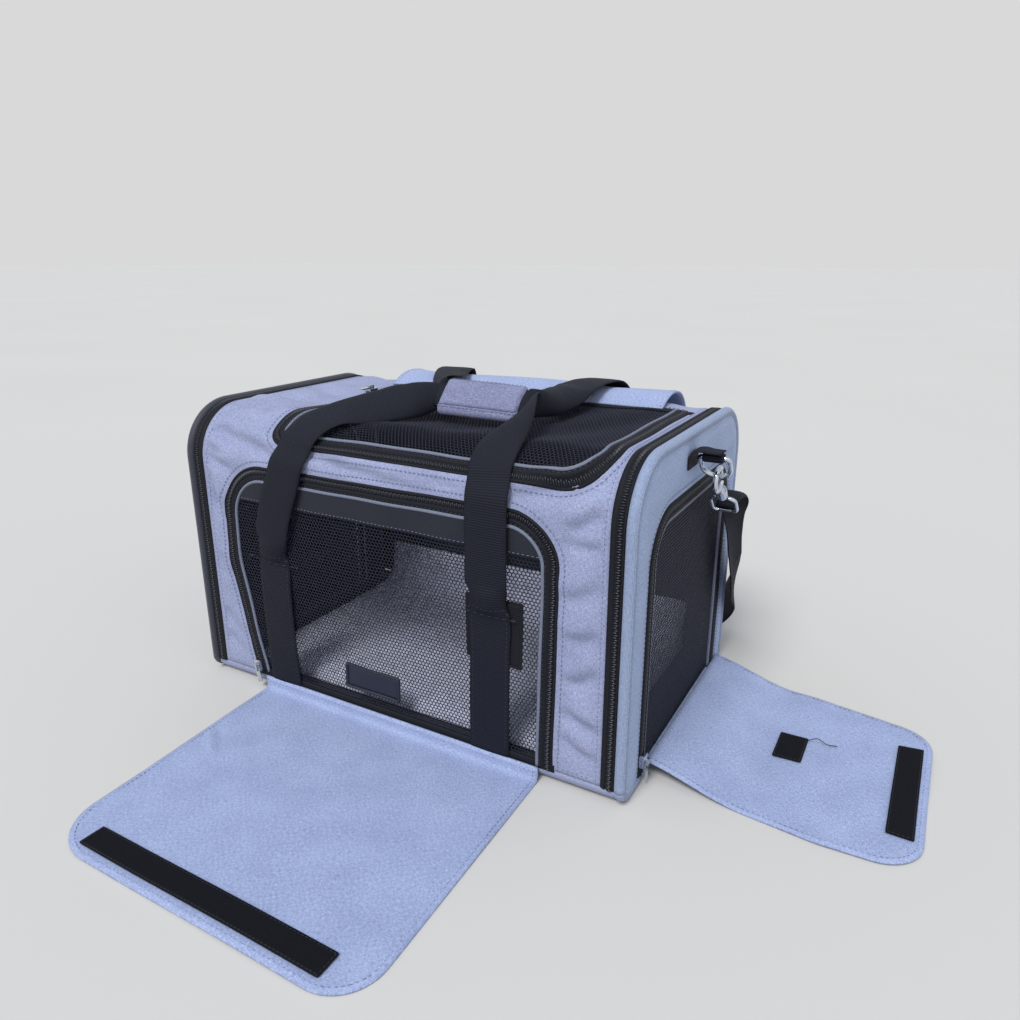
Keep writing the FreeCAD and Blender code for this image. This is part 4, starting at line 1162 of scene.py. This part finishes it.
def tape_piece(name, u_range, v_range, surface, height, body_name, node, seed):
    """Strip of hook tape sewn onto a flap."""
    (u0, u1), (v0, v1) = u_range, v_range
    line = path_of([(u0, v0), (u1, v0), (u1, v1), (u0, v1)], [0.8] * 4, 1.5, closed=True)
    c = Cloth()
    cut_sheet(c, u_range, v_range, 2.0, lambda u, v, h: surface(u, v, h + height + 1.0), 1.0, outer=line,
              lined=False)
    fuzz(c, (u0 + 2.6, u1 - 2.2), (v0 + 2.6, v1 - 2.2), surface, height + 0.9, seed)
    stitches(c, np.concatenate([line, line[:2]]), surface, height + 1.0, 1, aside=1.3, pitch=3.4, length=2.4)
    c.make(name, [HOOK_TAPE, THREAD_DARK], body_name, "hook_tape", [node])


def front_place(u, v, h):
    """Front flap lying on the floor, creased at its left, and its sewn edge turned up to the sill."""
    away = smooth((-150 - v) / 40)
    wave = 0.5 + 0.5 * np.sin(u / 41 + v / 67) * np.sin(v / 53 + 0.6)
    edge = smooth((-v - 330) / 60)
    rise = away * (1.0 * wave + 1.2 * edge * (0.5 + 0.5 * np.sin(u / 33)))
    along = ((u + 140) * 0.77 - (v + 224) * 0.64) / 40
    aside = (u + 140) * 0.64 + (v + 224) * 0.77
    fold = smooth(along / 0.2 + 0.3) * smooth((1.3 - along) / 0.8)
    rise = rise + 3.0 * fold * (bump(aside / 2.6) - 0.5 * bump((aside - 5) / 3))
    turn = np.interp(v, SILL_V, np.arange(4.0))
    y = v + (np.interp(turn, range(4), SILL_Y) - np.interp(turn, range(4), SILL_V)) * (turn > 0)
    z, ny, nz = (np.interp(turn, range(4), values) for values in (SILL_Z, SILL_NY, SILL_NZ))
    rise = np.maximum(rise, 0) + h
    return np.stack([u + 0 * v, y + ny * rise + 0 * u, z + nz * rise], axis=-1)


SILL_V = [-147.0, -143.2, -139.5, -131.3]
SILL_Y = [-147.0, -143.6, -142.2, -142.0]
SILL_Z = [0.2, 1.7, 5.0, 13.2]
SILL_NY = [0.0, -0.7, -1.0, -1.0]
SILL_NZ = [1.0, 0.7, 0.1, 0.0]

front_outline = path_of([(-137, -384), (160, -384), (156, -131.3), (-152, -131.3), (-149, -170), (-146, -222)],
                        [48, 36, 0, 0, 60, 60], 3.0, closed=True)
make_flap("front_flap", *flap_sheet(front_outline, front_place, 2.2), GREY_FLAP, "front_flap", "front_flap",
          (0, -0.1428, 0.0015), (0, -0.152, 0.0015), (0.304, 0.253), "laid", ["floor"])
tape_piece("front_flap_hooks", (-105, 128), (-376, -356), front_place, 2.3, "front_flap", "front_flap_tape", 3)


def right_place(u, v, h):
    """Right flap: it slopes from the sill to the floor, and waves a little."""
    slope = 14.0 * (1 - smooth((u - 226) / 92))
    away = smooth((u - 300) / 40)
    wave = away * (1.0 + np.sin(u / 31 + v / 45) * np.sin(v / 37))
    curl = 3.2 * smooth((u - 405) / 40) * smooth((v + 30) / 90) + 1.4 * bump((u - 330) / 20) * bump((v - 84) / 20)
    return np.stack([u + 0 * v, v + 0 * u, 0.2 + slope + wave + curl * away + h], axis=-1)


right_outline = path_of([(231.8, -90), (370, -106), (441, -104), (441, 86), (231.8, 122)], [0, 60, 34, 40, 0],
                        3.0, closed=True)
cloth, sewing = flap_sheet(right_outline, right_place, 2.2)
thread = [((343, 22, 4.6), (1, 0, 0), 0.7), ((350, 25, 7), (1, 0, 0), 0.7), ((359, 23, 5), (1, 0, 0), 0.7),
          ((367, 24, 5.4), (1, 0, 0), 0.7)]
tail = Ribbon(thread, (0, 0, 1), wide=0.7, step=1.0, thick=0.7)
tail.build(sewing, mark=1)
make_flap("right_flap", cloth, sewing, GREY_FLAP, "right_flap", "right_flap",
          (0.2315, 0, 0.014), (0.240, 0, 0.014), (0.209, 0.228), "laid", ["floor"])
tape_piece("right_flap_hooks", (414, 434), (-72, 52), right_place, 2.3, "right_flap", "right_flap_tape", 5)
tape_piece("right_flap_square", (319, 343), (-14, 26), right_place, 2.3, "right_flap", "right_flap_patch", 7)


def left_place(u, v, h):
    """Left flap, closed over its door: u runs in depth, v is the height."""
    belly = 0.9 * smooth((v - 30) / 50) * smooth((215 - v) / 60) * np.sin(u / 44 + 0.8)
    return np.stack([-(235.4 + belly + h * 1.0) + 0 * v, u + 0 * v, v + 0 * u], axis=-1)


left_outline = path_of([(102, 6), (102, 232), (-99, 232), (-99, 6)], [0, 46, 50, 0], 3.0, closed=True)
make_flap("left_flap", *flap_sheet(left_outline, left_place, 2.0), PANEL, "left_flap", "left_flap",
          (-0.234, 0, 0.008), (-0.234, 0, 0.022), (0.201, 0.226), "hung", ["door_zip_left"])


def tape_left(u, v, h):
    p = left_place(u, v, 0)
    return np.stack([p[..., 0] + 0.2 + h, p[..., 1], p[..., 2]], axis=-1)


tape_piece("left_flap_hooks", (-40, 40), (200, 220), tape_left, 0.0, "left_flap", "left_flap_tape", 9)

TOP_ROUTE = [((0, y, z), (1, 0, 0), 1) for y, z in
             ((63, 281.2), (68, 283), (76, 287.5), (90, 291.5), (105, 292), (119, 288.5), (131, 280), (139.5, 267),
              (142.6, 250), (143, 230), (143, 190), (143, 150))]
route = spline(TOP_ROUTE, 2.0)[:, 1:3]
ROUTE_RUN = runs(route)
route_n = -normals(route)
route_n = route_n * (1 if route_n[len(route) // 3, 1] > 0 else -1)


def top_place(u, v, h):
    """Top flap turned back over the rear edge: u along the bag, v along the flap from its seam."""
    u, v = np.broadcast_arrays(np.asarray(u, float), np.asarray(v, float))
    y, z = (np.interp(v, ROUTE_RUN, route[:, k]) for k in (0, 1))
    ny, nz = (np.interp(v, ROUTE_RUN, route_n[:, k]) for k in (0, 1))
    loose = smooth(v / 14) * smooth((ROUTE_RUN[-1] + 30 - v) / 60)
    wave = loose * (0.7 * np.sin(u / 37 + 0.5) * np.sin(v / 29) - 1.4 * bump((u + 60) / 30) * bump((v - 62) / 18)
                    - 1.0 * bump((u - 120) / 26) * bump((v - 54) / 20))
    wave = wave - 1.6 * loose * (bump((u + 95) / 26) + bump((u - 98) / 26)) * bump((v - 45) / 26)
    return np.stack([u, y + ny * (wave + h), z + nz * (wave + h)], axis=-1)


depth_top = ROUTE_RUN[-1]
top_outline = path_of([(-135, 0), (176, 0), (176, depth_top), (-135, depth_top)], [0, 0, 46, 46], 3.0, closed=True)
cloth, sewing = flap_sheet(top_outline, top_place, 2.0)
piece = cloth.make("top_flap_cloth", [GREY_FLAP], "bag", "grey_fabric", ["top_flap"])
thread = sewing.make("top_flap_stitching", [THREAD_GREY, THREAD_DARK], "bag", "grey_fabric")

# ---- padded pieces ----

def read_points(mesh):
    co = np.empty(len(mesh.vertices) * 3, np.float32)
    mesh.vertices.foreach_get("co", co)
    return co.reshape(-1, 3).astype(float)


def baked(piece):
    """The piece takes its own evaluated mesh, and keeps no modifier."""
    graph = bpy.context.evaluated_depsgraph_get()
    mesh = bpy.data.meshes.new_from_object(piece.evaluated_get(graph))
    piece.modifiers.clear()
    piece.data = mesh


CLOTH_FRAMES = 20


def inflate(piece, voxel, pressure, cap, held=None):
    """Remeshes a pad and lets pressure fill its cloth. held gives how far each place may move, from 0 to 1."""
    scene = bpy.context.scene
    remesh = piece.modifiers.new("voxels", "REMESH")
    remesh.mode = "VOXEL"
    remesh.voxel_size = voxel * MM
    baked(piece)
    rest = read_points(piece.data)
    cloth = piece.modifiers.new("cloth", "CLOTH")
    cloth.settings.quality = 5
    cloth.settings.use_pressure = True
    cloth.settings.uniform_pressure_force = pressure
    cloth.settings.effector_weights.gravity = 0
    cloth.settings.tension_stiffness = 12
    cloth.settings.compression_stiffness = 6
    cloth.settings.bending_stiffness = 0.6
    cloth.point_cache.frame_start = 1
    cloth.point_cache.frame_end = CLOTH_FRAMES
    for step in range(1, CLOTH_FRAMES + 1):
        scene.frame_set(step)
        bpy.context.view_layer.update()
    graph = bpy.context.evaluated_depsgraph_get()
    swollen = read_points(piece.evaluated_get(graph).data)
    piece.modifiers.clear()
    scene.frame_set(1)
    move = swollen - rest
    move[~np.isfinite(move).all(axis=1)] = 0
    far = np.linalg.norm(move, axis=1, keepdims=True)
    move = move * np.minimum(1, cap * MM / np.maximum(far, 1e-9))
    if held is not None:
        move = move * held(rest / MM)[:, None]
    piece.data.vertices.foreach_set("co", (rest + move).astype(np.float32).ravel())
    smoother = piece.modifiers.new("even", "SMOOTH")
    smoother.factor = 0.5
    smoother.iterations = 3
    finer = piece.modifiers.new("finer", "SUBSURF")
    finer.levels = 1
    finer.render_levels = 1
    baked(piece)
    for face in piece.data.polygons:
        face.use_smooth = True


def wrap_point(x, a, b):
    """Place in the grip's frame: x along it, a across, b off its middle."""
    x, a, b = np.broadcast_arrays(*(np.asarray(k, float) for k in (x, a, b)))
    return GRIP_LEFT + ALONG * x[..., None] + ACROSS * a[..., None] + FACING * b[..., None]


GRIP_LENGTH = float(np.linalg.norm(GRIP_RIGHT - GRIP_LEFT))
angles = np.linspace(0, 2 * math.pi, 44, endpoint=False)


def squircle(half_a, half_b):
    """Ring between an ellipse and a rectangle."""
    return [half * np.sign(wave) * np.abs(wave) ** 0.62
            for half, wave in ((half_a, np.cos(angles)), (half_b, np.sin(angles)))]


rows = []
for x, grow in ((0.6, 0.80), (0.9, 0.93), (2.2, 1.0), *((k, 1.0) for k in np.linspace(6, GRIP_LENGTH - 6, 18)),
                (GRIP_LENGTH - 2.2, 1.0), (GRIP_LENGTH - 0.9, 0.93), (GRIP_LENGTH - 0.6, 0.80)):
    a, b = squircle(19.0 * grow, 5.6 * grow)
    rows.append(wrap_point(x, a - 2.5, b))
wrap = Cloth()
wrap.grid(np.stack(rows))
piece = wrap.make("grip_wrap_pad", [GREY_PAD], "handles", "grey_fabric", ["grip_wrap"])
inflate(piece, 2.4, 4.0, 2.2)

# the wrap's overlapping edge, and its stitching
edge = Cloth()
wrap_mesh = read_points(piece.data) / MM - GRIP_LEFT
local = np.stack([wrap_mesh @ ALONG, wrap_mesh @ ACROSS, wrap_mesh @ FACING], axis=1)


def on_wrap(u, v, h):
    """Point over the wrap's outer face: u along it, v across."""
    u, v, h = np.broadcast_arrays(*(np.asarray(k, float) for k in (u, v, h)))
    top = local[local[:, 2] > 0]
    out = np.empty(u.shape)
    for k in np.ndindex(u.shape):
        near = (top[:, 0] - u[k]) ** 2 + (top[:, 1] - v[k]) ** 2
        best = np.argpartition(near, 6)[:6]
        weight = 1 / (near[best] + 0.3)
        out[k] = (top[best, 2] * weight).sum() / weight.sum()
    return wrap_point(u, v, out + h)


EDGE_U = (1.5, GRIP_LENGTH - 1.5)
EDGE_V = (-14.5, 12.5)
overlap = path_of([(EDGE_U[0], EDGE_V[1]), (EDGE_U[0], EDGE_V[0]), (EDGE_U[1], EDGE_V[0]), (EDGE_U[1], EDGE_V[1])],
                  [2.5] * 4, 1.5, closed=True)
cut_sheet(edge, EDGE_U, EDGE_V, 2.6, lambda u, v, h: on_wrap(u, v, h + 1.1), 1.6, outer=overlap, lined=False)
stitches(edge, np.concatenate([overlap, overlap[:2]]), on_wrap, 1.1, 1, aside=-2.0)
edge.make("grip_wrap_edge", [GREY_PAD, THREAD_GREY], "handles", "grey_fabric")

mat = Cloth()
# outline in (y, z): flat on its board, and turned up along the rear wall
section = [(-120, 8.2), (-60, 7.9), (0, 7.9), (60, 7.9), (124, 8.2), (130.6, 11), (131.2, 24), (131.2, 48),
           (130.4, 66), (127, 69.4), (122.4, 66), (121.2, 48), (120.2, 32), (115, 22.6), (104, 19.4), (60, 18.8),
           (0, 18.8), (-60, 18.8), (-112, 19.0), (-120.4, 17.6), (-122.6, 13)]
outline = path_of(section, [0] * len(section), 5.0, closed=True)
rows = []
for x in np.concatenate([[-197.5, -196.5, -193], np.linspace(-186, 186, 70), [193, 196.5, 197.5]]):
    inward = max(0.0, 3.2 * (abs(x) - 193) / 4.5) if abs(x) > 193 else 0.0
    spot = outline + normals(outline, True) * inward
    rows.append(laid(x, *spot.T))
mat.grid(np.stack(rows))
piece = mat.make("fleece_mat", [FLEECE], "bag", "fleece", ["comfort_mat"])


def mat_held(p):
    """The mat swells upwards and rests flat on its board."""
    return np.where(p[:, 2] < 10.0, 0.12, 1.0)


inflate(piece, 5.0, 4.0, 3.0, mat_held)
co = read_points(piece.data) / MM
rng = np.random.default_rng(11)
k = rng.uniform(0.12, 0.5, (18, 3)) * rng.choice([-1, 1], (18, 3))
phase = rng.uniform(0, 6.28, 18)
lumps = sum(np.sin(co @ k[i] + phase[i]) for i in range(18)) / 6
lift = np.where(co[:, 2] > 12, 1, 0) * lumps * 0.55
piece.data.update()
normal = np.empty(len(co) * 3, np.float32)
piece.data.vertices.foreach_get("normal", normal)
co = co + normal.reshape(-1, 3) * lift[:, None]
co[:, 2] = np.maximum(co[:, 2], 6.6)
piece.data.vertices.foreach_set("co", (co * MM).astype(np.float32).ravel())
piece.data.update()

# ---- stage and light ----

floor_mesh = bpy.data.meshes.new("floor")
work = bmesh.new()
bmesh.ops.create_grid(work, x_segments=1, y_segments=1, size=30)
work.to_mesh(floor_mesh)
work.free()
floor = bpy.data.objects.new("floor", floor_mesh)
floor.location.z = -0.0004
bpy.context.scene.collection.objects.link(floor)
plain = Finish("floor", 0.95, "part")
plain.colour(plain.ramp(plain.noise(900, detail=1), (0.3, (0.545, 0.533, 0.508, 1)),
                        (0.7, (0.555, 0.543, 0.518, 1))))
plain.shader.inputs["Specular IOR Level"].default_value = 0.1
floor_mesh.materials.append(plain.material)

scene = bpy.context.scene
scene.view_settings.view_transform = "Standard"
world = bpy.data.worlds.new("studio")
scene.world = world
world.use_nodes = True
sky = world.node_tree
direction = sky.nodes.new("ShaderNodeTexCoord")
split = sky.nodes.new("ShaderNodeSeparateXYZ")
sky.links.new(direction.outputs["Generated"], split.inputs[0])
fade = sky.nodes.new("ShaderNodeValToRGB")
fade.color_ramp.elements[0].position = 0.27
fade.color_ramp.elements[0].color = (0.694, 0.694, 0.694, 1)
fade.color_ramp.elements[1].position = 0.6
fade.color_ramp.elements[1].color = (0.56, 0.61, 0.70, 1)
sky.links.new(split.outputs["Z"], fade.inputs[0])
sky.links.new(fade.outputs[0], sky.nodes["Background"].inputs["Color"])
sky.nodes["Background"].inputs["Strength"].default_value = 1.0

for name, toward, power, soft in (("key", (0.0, -0.8, 1.0), 2.5, 22), ("side", (0.9, -0.5, 0.7), 0.3, 60)):
    lamp = bpy.data.objects.new(name, bpy.data.lights.new(name, "SUN"))
    lamp.data.energy = power
    lamp.data.angle = math.radians(soft)
    lamp.rotation_euler = Vector(toward).to_track_quat("Z", "Y").to_euler()
    scene.collection.objects.link(lamp)
